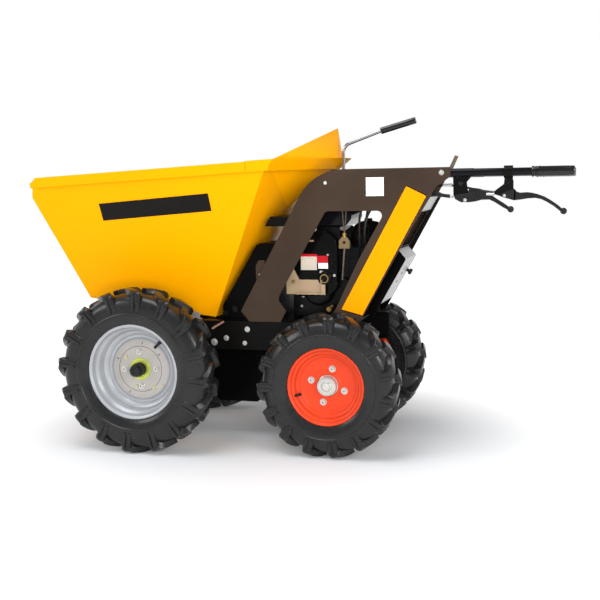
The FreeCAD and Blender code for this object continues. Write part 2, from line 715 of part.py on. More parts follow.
# ---------------------------------------------------------------------------
# Handles and controls
# ---------------------------------------------------------------------------
def build_handles():
    """Two straight handlebars bolted inside the plates, with their grips."""
    z = size("handle_z")
    y = size("handle_y")
    tube = size("handle_tube_radius")
    end = size("grip_end_x")
    inner = size("plate_outer_y") - size("plate_sheet")
    for side, outward in (("left", 1), ("right", -1)):
        body = new_body("handlebar_" + side)
        rod(body, "YZ_Plane", end + 2, (outward * y, z), tube, -370 - end, "Sizes.handle_tube_radius")
        rod(body, "YZ_Plane", -497, (outward * y, z), size("handle_sleeve_radius"), 129,
            "Sizes.handle_sleeve_radius")
        boss = new_sketch(body, "XZ_Plane", -outward * y)
        draw_polygon(boss, [(-385, z - 3), (-382, z - 6), (-376, z - 6), (-373, z - 3), (-373, z + 3),
                            (-376, z + 6), (-382, z + 6), (-385, z + 3)])
        pad(body, boss, inner - y, reverse=outward > 0)
        bore = (tube + 0.1) / math.cos(math.pi / 20)
        outer = size("grip_radius")
        length = size("grip_length")
        grip = faceted_ring([(0, 0), (0, outer - 4), (4, outer), (length - 6, outer), (length - 6, outer + 3),
                             (length, outer + 3), (length, bore), (1.9, bore), (1.9, 0)], 20)
        feature_part("grip_" + side, grip, (end, outward * y, z), Rotation(Vector(0, 0, 1), -90))


def build_clutch_lever(y, z):
    """The rear hand lever: a clamp on the bar, its perch, and a blade that pivots on the perch's outer side."""
    bore = (size("handle_tube_radius") + 0.1) / math.cos(math.pi / 16)
    clamp = faceted_ring([(0, bore), (0, 17.5), (24, 17.5), (24, bore)], 16)
    clamp.Placement = Placement(Vector(-579, y, z), Rotation(Vector(0, 0, 1), 90))
    perch = prism([(-554, 741), (-554, 750), (-560, 755), (-579, 769), (-581, z - 14), (-601, z - 14), (-604.5, 776),
                   (-604.5, 724.5), (-574, 735)], y, 14)
    feature_part("clutch_holder", clamp.fuse(perch).Solids[0])
    root = prism([(-570, 735), (-572, 744), (-606, 757), (-612, 751), (-612, 727), (-606, 724), (-590, 729)],
                 y + 9.1, 4)
    blade = prism([(-605.4, 757), (-622, 745), (-642, 746), (-669, 740.5), (-703, 724.5), (-735, 701), (-731, 693),
                   (-693, 719.5), (-663, 730), (-625, 726), (-605.4, 724)], y + 7.1, 8)
    feature_part("clutch_lever", blade.fuse([root, knob((-738, y + 7.1, 694), 9)]).Solids[0])


def build_drive_lever(y, z):
    """The front hand lever: a bracket under the bar, and a blade that pivots on the bracket's outer side."""
    top = z - size("handle_sleeve_radius") - 0.2
    bracket = new_body("drive_holder")
    outline = new_sketch(bracket, "XZ_Plane", -y)
    draw_polygon(outline, [(-440, top), (-490, top), (-478, 776), (-480, 757), (-487, 736), (-480, 722), (-462, 720),
                           (-446, 729), (-441, 742)])
    draw_circle(outline, (-461, 772), 4)
    pad(bracket, outline, 4, symmetric=True)
    beside = y + 8
    blade = prism([(-447, 731), (-447, 741), (-482, 745), (-485, 757), (-511, 751.5), (-529, 742.5), (-560, 728),
                   (-595, 706), (-591, 698), (-567, 712), (-540, 727), (-519, 726.5), (-484, 720), (-462, 721)],
                  beside, 7)
    pivot = prism([(-479, 722), (-471, 722), (-471, 730), (-479, 730)], y + 4.5, 5)
    feature_part("drive_lever", blade.fuse([knob((-598, beside, 700), 9), pivot]).Solids[0])


def build_hand_levers():
    """The two hand levers under the left handlebar, and the throttle lever on top of it."""
    y = size("handle_y")
    z = size("handle_z")
    build_clutch_lever(y, z)
    build_drive_lever(y, z)
    throttle = new_body("throttle_lever")
    sleeve_top = z + size("handle_sleeve_radius") + 0.1
    outline_pad(throttle, [(-428, sleeve_top, 0), (-440, sleeve_top, 0), (-455, 847, 0), (-445, 850, 0)], y, 3)


def build_gear_lever():
    """Gear lever: a bent rod that rises through the console, with a long grip."""
    y = size("gear_y")
    reach = size("gear_rod_radius")
    grip_start = (-229, y, 925)
    grip_end = (-330, y, 952.3)
    path = [(-118, y, 631.2), (-118, y, 866), (-120, y, 878), (-129, y, 888), (-142, y, 893), (-219, y, 922.3),
            grip_start]
    feature_part("gear_lever", faceted_sweep(path, reach, 8))
    feature_part("gear_lever_grip", faceted_sweep([grip_start, grip_end], 9.5, 12))


def cable_path(points, steps=3):
    """Return points along straight runs and tangent arcs, and the length of that path."""
    path = [Vector(*points[0])]
    for index in range(1, len(points) - 1):
        corner = Vector(*points[index])
        before = Vector(*points[index - 1]) - corner
        after = Vector(*points[index + 1]) - corner
        reach = 0.45 * min(before.Length, after.Length)
        back = before.normalize()
        ahead = after.normalize()
        half = back.getAngle(ahead) / 2.0
        bend = reach * math.tan(half)
        middle = (back + ahead).normalize()
        centre = corner + middle * (bend / math.sin(half))
        first = corner + back * reach
        arc = Part.Arc(first, centre - middle * bend, corner + ahead * reach)
        path.extend(arc.value(arc.FirstParameter + (arc.LastParameter - arc.FirstParameter) * step / steps)
                    for step in range(steps + 1))
        print("cable bend radius", round(bend, 1))
    path.append(Vector(*points[-1]))
    length = sum((second - first).Length for first, second in zip(path, path[1:]))
    return path, length


def build_cable(name, points, sides=6):
    """Sweep a Bowden cable's sheath along its path and compare its volume with the path's length."""
    radius = size("cable_radius")
    path, length = cable_path(points)
    sheath = faceted_sweep(path, radius, sides)
    expected = sides * radius * radius * math.tan(math.pi / sides) * length
    if abs(sheath.Volume - expected) > 0.02 * expected:
        raise RuntimeError("cable section is squeezed: " + name)
    print(name, "length", round(length, 1), "volume ratio", round(sheath.Volume / expected, 4))
    feature_part(name, sheath)


def build_cables():
    """Bowden cables from the hand levers into the engine bay."""
    y = size("handle_y")
    build_cable("cable_clutch", [(-552.5, y, 747), (-515, y - 8, 752), (-440, y - 8, 769),
                                 (-370, y - 8, 766), (-195, 112, 742), (-165, 108, 690), (-165, 108, 540),
                                 (-138, 108, 450), (-138, 108, 380.6)])
    build_cable("cable_drive", [(-442, y + 8, 736), (-405, y + 8, 741), (-350, y - 3, 746), (-215, 122, 722),
                                (-182, 118, 670), (-182, 118, 540), (-142, 119, 450), (-142, 119, 380.6)])


def check_and_export():
    """Check every object and write each sub-part to its own file."""
    DOC.recompute()
    for item in DOC.Objects:
        if "Invalid" in item.State or "Error" in item.State:
            raise RuntimeError("failed object: " + item.Label)
    os.makedirs("parts", exist_ok=True)
    for item in PARTS:
        shape = item.Shape
        if shape.isNull() or not shape.isValid():
            raise RuntimeError("bad shape: " + item.Label)
        shape.exportStep("parts/%s.step" % item.Label)
        print(item.Label, len(shape.Solids), round(shape.Volume / 1000.0, 1), "cm3")


build_wheels()
build_axles()
build_rails()
build_side_plates()
build_panels()
build_beams()
build_hinge_bracket()
build_tub()
build_engine()
build_linkage()
build_handles()
build_hand_levers()
build_gear_lever()
build_cables()
check_and_export()
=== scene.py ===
"""Dressed model of a walk-behind mini dumper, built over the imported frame.

The frame's axes hold throughout: +X forward towards the tub, +Y to the machine's left, +Z up. Lengths are in
metres, apart from those of the wheels, which are in millimetres until they are made.
"""

import logging
import math
from dataclasses import dataclass
from enum import Enum
from typing import Sequence

import bmesh
import bpy
from mathutils import Matrix, Vector


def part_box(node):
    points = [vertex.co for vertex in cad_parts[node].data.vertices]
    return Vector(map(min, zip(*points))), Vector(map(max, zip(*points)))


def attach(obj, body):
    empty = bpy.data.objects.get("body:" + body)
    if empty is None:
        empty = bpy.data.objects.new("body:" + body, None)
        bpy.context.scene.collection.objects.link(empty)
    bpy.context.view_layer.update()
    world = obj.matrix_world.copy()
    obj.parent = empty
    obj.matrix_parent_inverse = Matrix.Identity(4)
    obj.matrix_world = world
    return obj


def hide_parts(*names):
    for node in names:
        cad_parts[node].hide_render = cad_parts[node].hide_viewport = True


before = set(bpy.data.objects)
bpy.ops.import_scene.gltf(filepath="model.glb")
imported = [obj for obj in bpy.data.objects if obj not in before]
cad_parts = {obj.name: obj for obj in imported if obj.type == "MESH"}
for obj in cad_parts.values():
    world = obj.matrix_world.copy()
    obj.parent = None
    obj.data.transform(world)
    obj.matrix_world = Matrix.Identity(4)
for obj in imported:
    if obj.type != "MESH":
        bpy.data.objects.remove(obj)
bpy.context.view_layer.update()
LOG = logging.getLogger("mini_dumper")

MM = 0.001
TINY = 1e-6
# Points closer than this are one point, in a mesh made here and in one read from the frame.
MERGE = 1e-7
NODE_MERGE = 2e-6

Point = tuple[float, float, float]
Pair = tuple[float, float]
Colour = tuple[float, float, float]


class Side(Enum):
    """Sides of the machine."""

    LEFT = "left"
    RIGHT = "right"

    @property
    def sign(self) -> float:
        """Return the side's direction along Y."""
        return 1.0 if self is Side.LEFT else -1.0


class End(Enum):
    """Ends of the machine."""

    FRONT = "front"
    REAR = "rear"


class Body(str, Enum):
    """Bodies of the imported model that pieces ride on."""

    CHASSIS = "chassis"
    TUB = "tub"
    WHEEL_FRONT_LEFT = "wheel_front_left"
    WHEEL_FRONT_RIGHT = "wheel_front_right"
    WHEEL_REAR_LEFT = "wheel_rear_left"
    WHEEL_REAR_RIGHT = "wheel_rear_right"


class Slot(str, Enum):
    """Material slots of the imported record."""

    TYRE = "tyre_rubber"
    SILVER_WHEEL = "silver_wheel"
    ORANGE_WHEEL = "orange_wheel"
    ZINC = "zinc_plate"
    YELLOW = "yellow_paint"
    PLATE = "plate_paint"
    BLACK = "black_paint"
    GRIP = "grip_rubber"
    CHROME = "chrome_rod"
    PLASTIC = "engine_plastic"
    CASTING = "engine_casting"
    SILVER_SHEET = "silver_sheet"


# ---------------------------------------------------------------------------
# Finishes
# ---------------------------------------------------------------------------
@dataclass(frozen=True)
class Finish:
    """A procedural finish: two close colours in clouds, a fine relief and an uneven gloss.

    Lengths are in metres and scales in repeats per metre.
    """

    name: str
    colour: Colour
    shade: Colour
    roughness: float
    gloss_spread: float = 0.05
    metallic: float = 0.0
    coat: float = 0.0
    cloud_scale: float = 40.0
    cloud_hardness: float = 0.5
    relief_scale: float = 900.0
    relief: float = 0.00003
    specular: float = 0.5
    coat_roughness: float = 0.12
    relief_strength: float = 0.6
    smoothest: float = 0.02

    def material(self) -> bpy.types.Material:
        """Return the finish as a node material, made once.

        Returns:
            The material that carries this finish.
        """
        known = bpy.data.materials.get(self.name)
        if known:
            return known
        material = bpy.data.materials.new(self.name)
        material.use_nodes = True
        tree = material.node_tree
        shader = tree.nodes["Principled BSDF"]
        shader.inputs["Metallic"].default_value = self.metallic
        shader.inputs["Coat Weight"].default_value = self.coat
        shader.inputs["Coat Roughness"].default_value = self.coat_roughness
        shader.inputs["Specular IOR Level"].default_value = self.specular
        place = tree.nodes.new("ShaderNodeTexCoord").outputs["Object"]
        self._paint(tree, place, shader)
        self._gloss(tree, place, shader)
        if self.relief:
            self._texture(tree, place, shader)
        return material

    def _noise(self, tree: bpy.types.NodeTree, place: bpy.types.NodeSocket, scale: float,
               detail: float) -> bpy.types.NodeSocket:
        """Return a noise in the piece's own space.

        Args:
            tree: The material's nodes.
            place: The socket that gives the place on the piece.
            scale: Repeats per metre.
            detail: Octaves of the noise.

        Returns:
            The socket that gives the noise.
        """
        noise = tree.nodes.new("ShaderNodeTexNoise")
        noise.inputs["Scale"].default_value = scale
        noise.inputs["Detail"].default_value = detail
        tree.links.new(place, noise.inputs["Vector"])
        return noise.outputs["Fac"]

    def _paint(self, tree: bpy.types.NodeTree, place: bpy.types.NodeSocket, shader: bpy.types.Node) -> None:
        """Mix the two colours in soft clouds.

        Args:
            tree: The material's nodes.
            place: The socket that gives the place on the piece.
            shader: The node that takes the colour.
        """
        ramp = tree.nodes.new("ShaderNodeValToRGB")
        ramp.color_ramp.elements[0].position = 0.5 - self.cloud_hardness / 2.0
        ramp.color_ramp.elements[1].position = 0.5 + self.cloud_hardness / 2.0
        ramp.color_ramp.elements[0].color = (*self.shade, 1.0)
        ramp.color_ramp.elements[1].color = (*self.colour, 1.0)
        tree.links.new(self._noise(tree, place, self.cloud_scale, detail=5.0), ramp.inputs["Fac"])
        tree.links.new(ramp.outputs["Color"], shader.inputs["Base Color"])

    def _gloss(self, tree: bpy.types.NodeTree, place: bpy.types.NodeSocket, shader: bpy.types.Node) -> None:
        """Let the gloss change a little from place to place.

        Args:
            tree: The material's nodes.
            place: The socket that gives the place on the piece.
            shader: The node that takes the roughness.
        """
        spread = tree.nodes.new("ShaderNodeMapRange")
        spread.inputs["To Min"].default_value = max(self.smoothest, self.roughness - self.gloss_spread)
        spread.inputs["To Max"].default_value = min(1.0, self.roughness + self.gloss_spread)
        tree.links.new(self._noise(tree, place, self.cloud_scale * 4.0, detail=4.0), spread.inputs["Value"])
        tree.links.new(spread.outputs["Result"], shader.inputs["Roughness"])

    def _texture(self, tree: bpy.types.NodeTree, place: bpy.types.NodeSocket, shader: bpy.types.Node) -> None:
        """Raise the finish's fine relief.

        Args:
            tree: The material's nodes.
            place: The socket that gives the place on the piece.
            shader: The node that takes the relief.
        """
        bump = tree.nodes.new("ShaderNodeBump")
        bump.inputs["Strength"].default_value = self.relief_strength
        bump.inputs["Distance"].default_value = self.relief
        tree.links.new(self._noise(tree, place, self.relief_scale, detail=3.0), bump.inputs["Height"])
        tree.links.new(bump.outputs["Normal"], shader.inputs["Normal"])


YELLOW_COAT = Finish(
    "yellow_powder_coat", (0.83, 0.345, 0.0), (0.81, 0.325, 0.0), roughness=0.38, cloud_scale=3.0,
    cloud_hardness=0.6, relief_scale=650.0, relief=0.0001, specular=0.04)
BROWN_COAT = Finish(
    "brown_black_powder_coat", (0.048, 0.032, 0.022), (0.028, 0.018, 0.012), roughness=0.46,
    gloss_spread=0.08, cloud_scale=5.0, cloud_hardness=0.6, relief_scale=800.0, relief=0.00022,
    specular=0.1)
BLACK_COAT = Finish(
    "satin_black_coat", (0.0040, 0.0036, 0.0033), (0.0024, 0.0022, 0.0020), roughness=0.34,
    gloss_spread=0.1, cloud_scale=12.0, relief_scale=700.0, relief=0.00015, specular=0.09)
BLACK_GLOSS = Finish(
    "gloss_black_enamel", (0.005, 0.005, 0.006), (0.003, 0.003, 0.004), roughness=0.12, cloud_scale=10.0,
    relief_scale=500.0, relief=0.00005, specular=0.15)
TYRE_RUBBER = Finish(
    "moulded_tyre_rubber", (0.011, 0.011, 0.011), (0.006, 0.006, 0.006), roughness=0.28, gloss_spread=0.1,
    cloud_scale=18.0, cloud_hardness=0.45, relief_scale=420.0, relief=0.00012, specular=0.4)
SILVER_PAINT = Finish(
    "silver_wheel_paint", (0.375, 0.385, 0.40), (0.295, 0.305, 0.325), roughness=0.36, gloss_spread=0.07,
    metallic=0.3, coat=0.05, cloud_scale=14.0, relief=0.0001)
WARM_SILVER = Finish(
    "warm_silver_disc_paint", (0.40, 0.373, 0.347), (0.33, 0.31, 0.287), roughness=0.42, gloss_spread=0.07,
    metallic=0.25, cloud_scale=22.0, relief=0.0001)
ORANGE_PAINT = Finish(
    "orange_red_wheel_paint", (0.57, 0.046, 0.012), (0.50, 0.037, 0.010), roughness=0.33, gloss_spread=0.06,
    coat=0.05, cloud_scale=14.0, relief_scale=800.0, relief=0.0001, specular=0.2)
ZINC = Finish(
    "bright_zinc_plate", (0.66, 0.65, 0.62), (0.58, 0.57, 0.53), roughness=0.3, gloss_spread=0.06,
    metallic=0.75, relief=0.000004)
PASSIVATED = Finish(
    "yellow_passivated_zinc", (0.58, 0.60, 0.12), (0.46, 0.52, 0.10), roughness=0.32, gloss_spread=0.1,
    metallic=0.6, cloud_scale=70.0, cloud_hardness=0.6, relief=0.00001)
PALE_PASSIVATED = Finish(
    "pale_passivated_zinc", (0.64, 0.60, 0.34), (0.52, 0.49, 0.26), roughness=0.3, gloss_spread=0.08,
    metallic=0.7, cloud_scale=70.0, cloud_hardness=0.6, relief=0.00001)
TAN_ZINC = Finish(
    "tan_passivated_sheet", (0.40, 0.285, 0.172), (0.32, 0.227, 0.135), roughness=0.4, gloss_spread=0.08,
    metallic=0.15, cloud_scale=25.0, relief=0.00008)
OLIVE_ZINC = Finish(
    "olive_passivated_steel", (0.20, 0.135, 0.060), (0.15, 0.10, 0.045), roughness=0.38, gloss_spread=0.08,
    metallic=0.2, relief=0.00008)
CHROME = Finish(
    "bright_chrome", (0.52, 0.50, 0.49), (0.40, 0.38, 0.36), roughness=0.13, metallic=1.0, cloud_scale=30.0)
BRASS = Finish(
    "brass_fitting", (0.60, 0.40, 0.12), (0.46, 0.29, 0.08), roughness=0.3, gloss_spread=0.1, metallic=0.9,
    cloud_scale=50.0, relief=0.00005)
GRIP_RUBBER = Finish(
    "moulded_grip_rubber", (0.007, 0.007, 0.008), (0.004, 0.004, 0.005), roughness=0.22, gloss_spread=0.08,
    cloud_scale=30.0, relief=0.00002, specular=0.35)
GRIP_GLOSS = Finish(
    "polished_grip_rubber", (0.003, 0.003, 0.003), (0.002, 0.002, 0.002), roughness=0.13, gloss_spread=0.04,
    cloud_scale=30.0, relief=0.000006, specular=0.55)
FORGED = Finish(
    "black_forged_lever", (0.010, 0.009, 0.009), (0.005, 0.005, 0.005), roughness=0.3, gloss_spread=0.1,
    cloud_scale=30.0, relief_scale=600.0, relief=0.00006, specular=0.3)
CASTING = Finish(
    "dark_engine_casting", (0.006, 0.006, 0.006), (0.002, 0.002, 0.002), roughness=0.28, gloss_spread=0.12,
    metallic=0.1, cloud_scale=35.0, relief_scale=500.0, relief=0.0002, specular=0.15)
# A darker copy of the satin black for the pieces deep in the engine bay: painted shade.
BAY_SHADED_BLACK = Finish(
    "engine_bay_black_painted_shade", (0.0018, 0.0016, 0.0015), (0.0010, 0.0010, 0.0009), roughness=0.32,
    gloss_spread=0.1, cloud_scale=12.0, relief_scale=700.0, relief=0.0001, specular=0.05)
COWL_PLASTIC = Finish(
    "black_cowl_plastic", (0.0030, 0.0028, 0.0026), (0.0018, 0.0017, 0.0016), roughness=0.16,
    gloss_spread=0.06, cloud_scale=10.0, relief_scale=500.0, relief=0.00004, specular=0.09)
SILVER_SHEET = Finish(
    "silver_sheet_paint", (0.42, 0.42, 0.42), (0.36, 0.36, 0.355), roughness=0.4, gloss_spread=0.06,
    metallic=0.3, cloud_scale=14.0, relief_scale=420.0, relief=0.0003)
WHITE_LABEL = Finish(
    "white_blank_label", (0.84, 0.84, 0.82), (0.80, 0.80, 0.78), roughness=0.4, cloud_hardness=0.6,
    specular=0.2)
WARM_LABEL = Finish(
    "warm_white_blank_label", (0.57, 0.50, 0.41), (0.53, 0.46, 0.375), roughness=0.4, cloud_hardness=0.6,
    specular=0.2)
STEEL_ROD = Finish(
    "brown_drawn_rod", (0.17, 0.13, 0.10), (0.11, 0.085, 0.065), roughness=0.3, gloss_spread=0.08,
    metallic=0.5)
COPPER = Finish(
    "copper_plated_link", (0.62, 0.33, 0.24), (0.52, 0.27, 0.19), roughness=0.32, gloss_spread=0.08,
    metallic=0.6)
GREY_LABEL = Finish(
    "grey_label_border", (0.42, 0.40, 0.38), (0.36, 0.34, 0.32), roughness=0.4, cloud_hardness=0.6,
    specular=0.2)
RED_LABEL = Finish(
    "red_blank_label", (0.47, 0.008, 0.016), (0.40, 0.006, 0.012), roughness=0.4, cloud_hardness=0.6,
    specular=0.2)
DARK_LABEL = Finish(
    "dark_blank_plate", (0.0065, 0.0055, 0.0050), (0.0045, 0.0040, 0.0035), roughness=0.3,
    cloud_hardness=0.6, specular=0.12)
YELLOW_LABEL = Finish(
    "yellow_blank_band", (0.82, 0.262, 0.0), (0.78, 0.245, 0.0), roughness=0.4, cloud_scale=30.0,
    cloud_hardness=0.6, specular=0.06)
STUDIO_FLOOR = Finish(
    "studio_floor_paint", (0.72, 0.72, 0.725), (0.71, 0.71, 0.715), roughness=0.75, cloud_scale=0.4,
    cloud_hardness=0.6, relief=0.0, specular=0.2)


# ---------------------------------------------------------------------------
# Mesh making
# ---------------------------------------------------------------------------
def facing(origin: Sequence[float], axis: Sequence[float], up: Sequence[float] = (0, 0, 1)) -> Matrix:
    """Return the place whose own Z axis lies along an axis.

    Args:
        origin: Where the place's origin is.
        axis: The direction of its Z axis.
        up: The direction that its Y axis leans towards.

    Returns:
        The 4x4 matrix of the place.
    """
    forward = Vector(axis).normalized()
    side = Vector(up).cross(forward)
    if side.length < TINY:
        side = Vector((1, 0, 0))
    side.normalize()
    upright = forward.cross(side)
    matrix = Matrix((side, upright, forward)).transposed().to_4x4()
    matrix.translation = Vector(origin)
    return matrix


def sideways(x: float, y: float, z: float, side: Side = Side.LEFT) -> Matrix:
    """Return a place on one side of the machine, its Z axis outwards and its Y axis up."""
    return facing((x, side.sign * y, z), (0, side.sign, 0))


def in_metres(profile: Sequence[Pair], lift: float = 0.0) -> list[Pair]:
    """Return a (radius, height) profile given in millimetres, raised by a lift, in metres."""
    return [(radius * MM, (lift + height) * MM) for radius, height in profile]


def oblong(low: float, high: float, half_width: float) -> list[Pair]:
    """Return the corners of a rectangle that lies along X, with its middle line on the X axis."""
    return [(low, -half_width), (high, -half_width), (high, half_width), (low, half_width)]


class Form:
    """Collects simple solids into one mesh, in metres."""

    def __init__(self) -> None:
        """Start with an empty mesh."""
        self.mesh = bmesh.new()

    def _strip(self, rings: list[list[bmesh.types.BMVert]]) -> None:
        """Join neighbouring rings of points by quads.

        Args:
            rings: Closed rings with the same count of points.
        """
        count = len(rings[0])
        for first, second in zip(rings, rings[1:]):
            for index in range(count):
                following = (index + 1) % count
                corners = [first[index], first[following], second[following], second[index]]
                distinct = list(dict.fromkeys(corners))
                if len(distinct) > 2:
                    self.mesh.faces.new(distinct)

    def lathe(self, profile: Sequence[Pair], place: Matrix, segments: int, closed: bool = False) -> None:
        """Turn a (radius, height) profile round a place's Z axis.

        Args:
            profile: Points of the profile.
            place: Where the axis is.
            segments: Steps in a full turn.
            closed: Whether the last point joins the first.
        """
        columns = []
        for radius, height in profile:
            if radius < MERGE:
                centre = self.mesh.verts.new(place @ Vector((0, 0, height)))
                columns.append([centre] * segments)
                continue
            column = []
            for step in range(segments):
                angle = 2.0 * math.pi * step / segments
                column.append(self.mesh.verts.new(
                    place @ Vector((radius * math.cos(angle), radius * math.sin(angle), height))))
            columns.append(column)
        if closed:
            columns.append(columns[0])
        self._strip(columns)

    def prism(self, outline: Sequence[Pair], place: Matrix, low: float, high: float) -> None:
        """Raise a flat outline between two heights of a place.

        Args:
            outline: Corners in the place's XY plane.
            place: The place.
            low: Height of the lower face.
            high: Height of the upper face.
        """
        self.sweep([[place @ Vector((x, y, level)) for x, y in outline] for level in (low, high)])

    def tube(self, path: Sequence[Sequence[float]], radius: float, sides: int) -> None:
        """Sweep a round section along points, with closed ends.

        Args:
            path: Points along the middle of the tube.
            radius: Radius of the tube.
            sides: Points round the section.
        """
        points = [Vector(point) for point in path]
        rings = []
        normal = None
        for index, point in enumerate(points):
            before = points[max(index - 1, 0)]
            after = points[min(index + 1, len(points) - 1)]
            heading = (after - before).normalized()
            if normal is None:
                normal = heading.orthogonal().normalized()
            normal = (normal - heading * normal.dot(heading)).normalized()
            across = heading.cross(normal)
            turns = [2 * math.pi * step / sides for step in range(sides)]
            rings.append([point + radius * (normal * math.cos(turn) + across * math.sin(turn))
                          for turn in turns])
        self.sweep(rings)

    def box(self, low: Sequence[float], high: Sequence[float]) -> None:
        """Add a box between two corners."""
        outline = [(low[0], low[1]), (high[0], low[1]), (high[0], high[1]), (low[0], high[1])]
        self.prism(outline, Matrix.Identity(4), low[2], high[2])

    def bolt(self, place: Matrix, radius: float, height: float, washer: float) -> None:
        """Add a hexagon head with its washer, seated on a place's XY plane.

        Args:
            place: Where the bolt sits, its Z axis outwards.
            radius: Radius across the head's corners.
            height: Height of the head.
            washer: Radius of the washer in head radii.
        """
        rim = radius * washer
        thick = height * 0.22
        top = height * 0.88
        crown = radius * 0.84
        washer_profile = [(0, 0), (rim, 0), (rim, thick * 0.7), (rim * 0.95, thick), (radius * 0.7, thick)]
        self.lathe(washer_profile, place, 24)
        turns = [math.radians(degrees) for degrees in range(0, 360, 60)]
        self.prism([(radius * math.cos(turn), radius * math.sin(turn)) for turn in turns], place, thick, top)
        self.lathe([(crown * 1.02, top), (crown * 0.9, height), (0, height)], place, 18)

    def bolts(self, spots: Sequence[Point], face: float, height: float, washer: float,
              side: Side = Side.LEFT) -> None:
        """Add bolts that face sideways.

        Args:
            spots: The x, z and radius of each.
            face: Distance of their seat from the middle plane.
            height: Height of their heads.
            washer: Radius of their washers in head radii.
            side: The side of the machine.
        """
        for x, z, radius in spots:
            self.bolt(sideways(x, face, z, side), radius, height, washer)

    def slab(self, outline: Sequence[Pair], face: float, low: float, high: float,
             side: Side = Side.LEFT) -> None:
        """Add a flat slab that faces sideways.

        Args:
            outline: Its corners as (x, z).
            face: Distance from the middle plane of the plane that the two heights count from.
            low: Height of its back.
            high: Height of its face.
            side: The side of the machine.
        """
        self.prism([(-side.sign * x, z) for x, z in outline], sideways(0.0, face, 0.0, side), low, high)

    def sweep(self, rings: Sequence[Sequence[Vector]]) -> None:
        """Join open rings of points into a closed bar with capped ends.

        Args:
            rings: Rings with the same count of points, in order.
        """
        made = [[self.mesh.verts.new(point) for point in ring] for ring in rings]
        self._strip(made)
        self.mesh.faces.new(list(reversed(made[0])))
        self.mesh.faces.new(made[-1])

    def piece(self, name: str, body: Body, finish: Finish, slot: Slot, smooth: float = 35.0,
              bevel: float = 0.0) -> bpy.types.Object:
        """Finish the mesh and hand it over as a piece of the object.

        Args:
            name: The piece's name.
            body: The body that it rides on.
            finish: Its finish.
            slot: The record's slot; not used.
            smooth: Steepest edge that is still shaded smooth, in degrees.
            bevel: Width of the rounding on its sharp edges.

        Returns:
            The new object.
        """
        bmesh.ops.remove_doubles(self.mesh, verts=self.mesh.verts, dist=MERGE)
        bmesh.ops.recalc_face_normals(self.mesh, faces=self.mesh.faces)
        if bevel:
            round_edges(self.mesh, bevel, low=30.0, high=180.0, segments=2)
        data = bpy.data.meshes.new(name)
        self.mesh.to_mesh(data)
        self.mesh.free()
        piece = bpy.data.objects.new(name, data)
        bpy.context.scene.collection.objects.link(piece)
        data.materials.append(finish.material())
        data.shade_smooth()
        data.set_sharp_from_angle(angle=math.radians(smooth))
        if bevel:
            even_shading(piece)
        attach(piece, body.value)
        LOG.info("piece %s on %s: %d faces", name, body.value, len(data.polygons))
        return piece


def even_shading(piece: bpy.types.Object) -> None:
    """Let the large flat faces of a piece keep their own shade beside its rounded edges.

    Args:
        piece: The piece.
    """
    weighted = piece.modifiers.new("even_shading", "WEIGHTED_NORMAL")
    weighted.mode = "FACE_AREA"
    weighted.weight = 100
    weighted.keep_sharp = True


def round_edges(mesh: bmesh.types.BMesh, width: float, low: float, high: float, segments: int) -> None:
    """Bevel the edges whose faces turn by an angle between two limits.

    Args:
        mesh: The mesh to change.
        width: Offset of the bevel.
        low: Smallest turn, in degrees.
        high: Largest turn, in degrees.
        segments: Steps across the bevel.
    """
    sharp = [edge for edge in mesh.edges
             if edge.is_manifold and math.radians(low) < edge.calc_face_angle(0.0) <= math.radians(high)]
    if sharp:
        bmesh.ops.bevel(mesh, geom=sharp, offset=width, offset_type="OFFSET", segments=segments, profile=0.5,
                        affect="EDGES", clamp_overlap=True)


def soften(node: str, body: Body, finish: Finish, slot: Slot, edge: float = 0.0008,
           crease: float = 0.0) -> bpy.types.Object:
    """Stand in for a frame node with the same form, its edges rounded as sheet and castings have them.

    Args:
        node: The node's name.
        body: The body that it rides on.
        finish: Its finish.
        slot: The record's slot.
        edge: Rounding of the sharp edges.
        crease: Rounding of the shallow folds, if any.

    Returns:
        The new object, which replaces the node.
    """
    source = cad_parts[node]
    form = Form()
    form.mesh.from_mesh(source.data)
    bmesh.ops.transform(form.mesh, matrix=source.matrix_world, verts=form.mesh.verts)
    bmesh.ops.remove_doubles(form.mesh, verts=form.mesh.verts, dist=NODE_MERGE)
    bmesh.ops.dissolve_limit(form.mesh, angle_limit=math.radians(0.6), verts=form.mesh.verts,
                             edges=form.mesh.edges)
    if crease:
        round_edges(form.mesh, crease, low=8.0, high=60.0, segments=4)
    round_edges(form.mesh, edge, low=60.0 if crease else 25.0, high=180.0, segments=2)
    piece = form.piece(node + "_made", body, finish, slot)
    even_shading(piece)
    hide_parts(node)
    return piece


def shorten(piece: bpy.types.Object, end: float) -> None:
    """Cut off what lies behind a place along the machine, and close the cut.

    Args:
        piece: The piece to cut.
        end: Place of the cut along X.
    """
    mesh = bmesh.new()
    mesh.from_mesh(piece.data)
    cut = bmesh.ops.bisect_plane(mesh, geom=[*mesh.verts, *mesh.edges, *mesh.faces], dist=TINY,
                                 plane_co=(end, 0.0, 0.0), plane_no=(-1.0, 0.0, 0.0), clear_outer=True)
    edges = [item for item in cut["geom_cut"] if isinstance(item, bmesh.types.BMEdge)]
    bmesh.ops.edgenet_fill(mesh, edges=edges)
    mesh.to_mesh(piece.data)
    mesh.free()


def eased(points: Sequence[Sequence[float]], bend: float, steps: int = 8) -> list[Vector]:
    """Round the corners of a path.

    Args:
        points: The path's corners.
        bend: Distance from a corner at which its rounding starts.
        steps: Steps in each rounding.

    Returns:
        Points along the rounded path.
    """
    most = 0.45
    path = [Vector(point) for point in points]
    result = [path[0]]
    for before, corner, after in zip(path, path[1:], path[2:]):
        reach = min(bend, (before - corner).length * most, (after - corner).length * most)
        first = corner + (before - corner).normalized() * reach
        last = corner + (after - corner).normalized() * reach
        for step in range(steps + 1):
            share = step / steps
            result.append(first * (1 - share) ** 2 + corner * 2 * share * (1 - share) + last * share ** 2)
    result.append(path[-1])
    return result


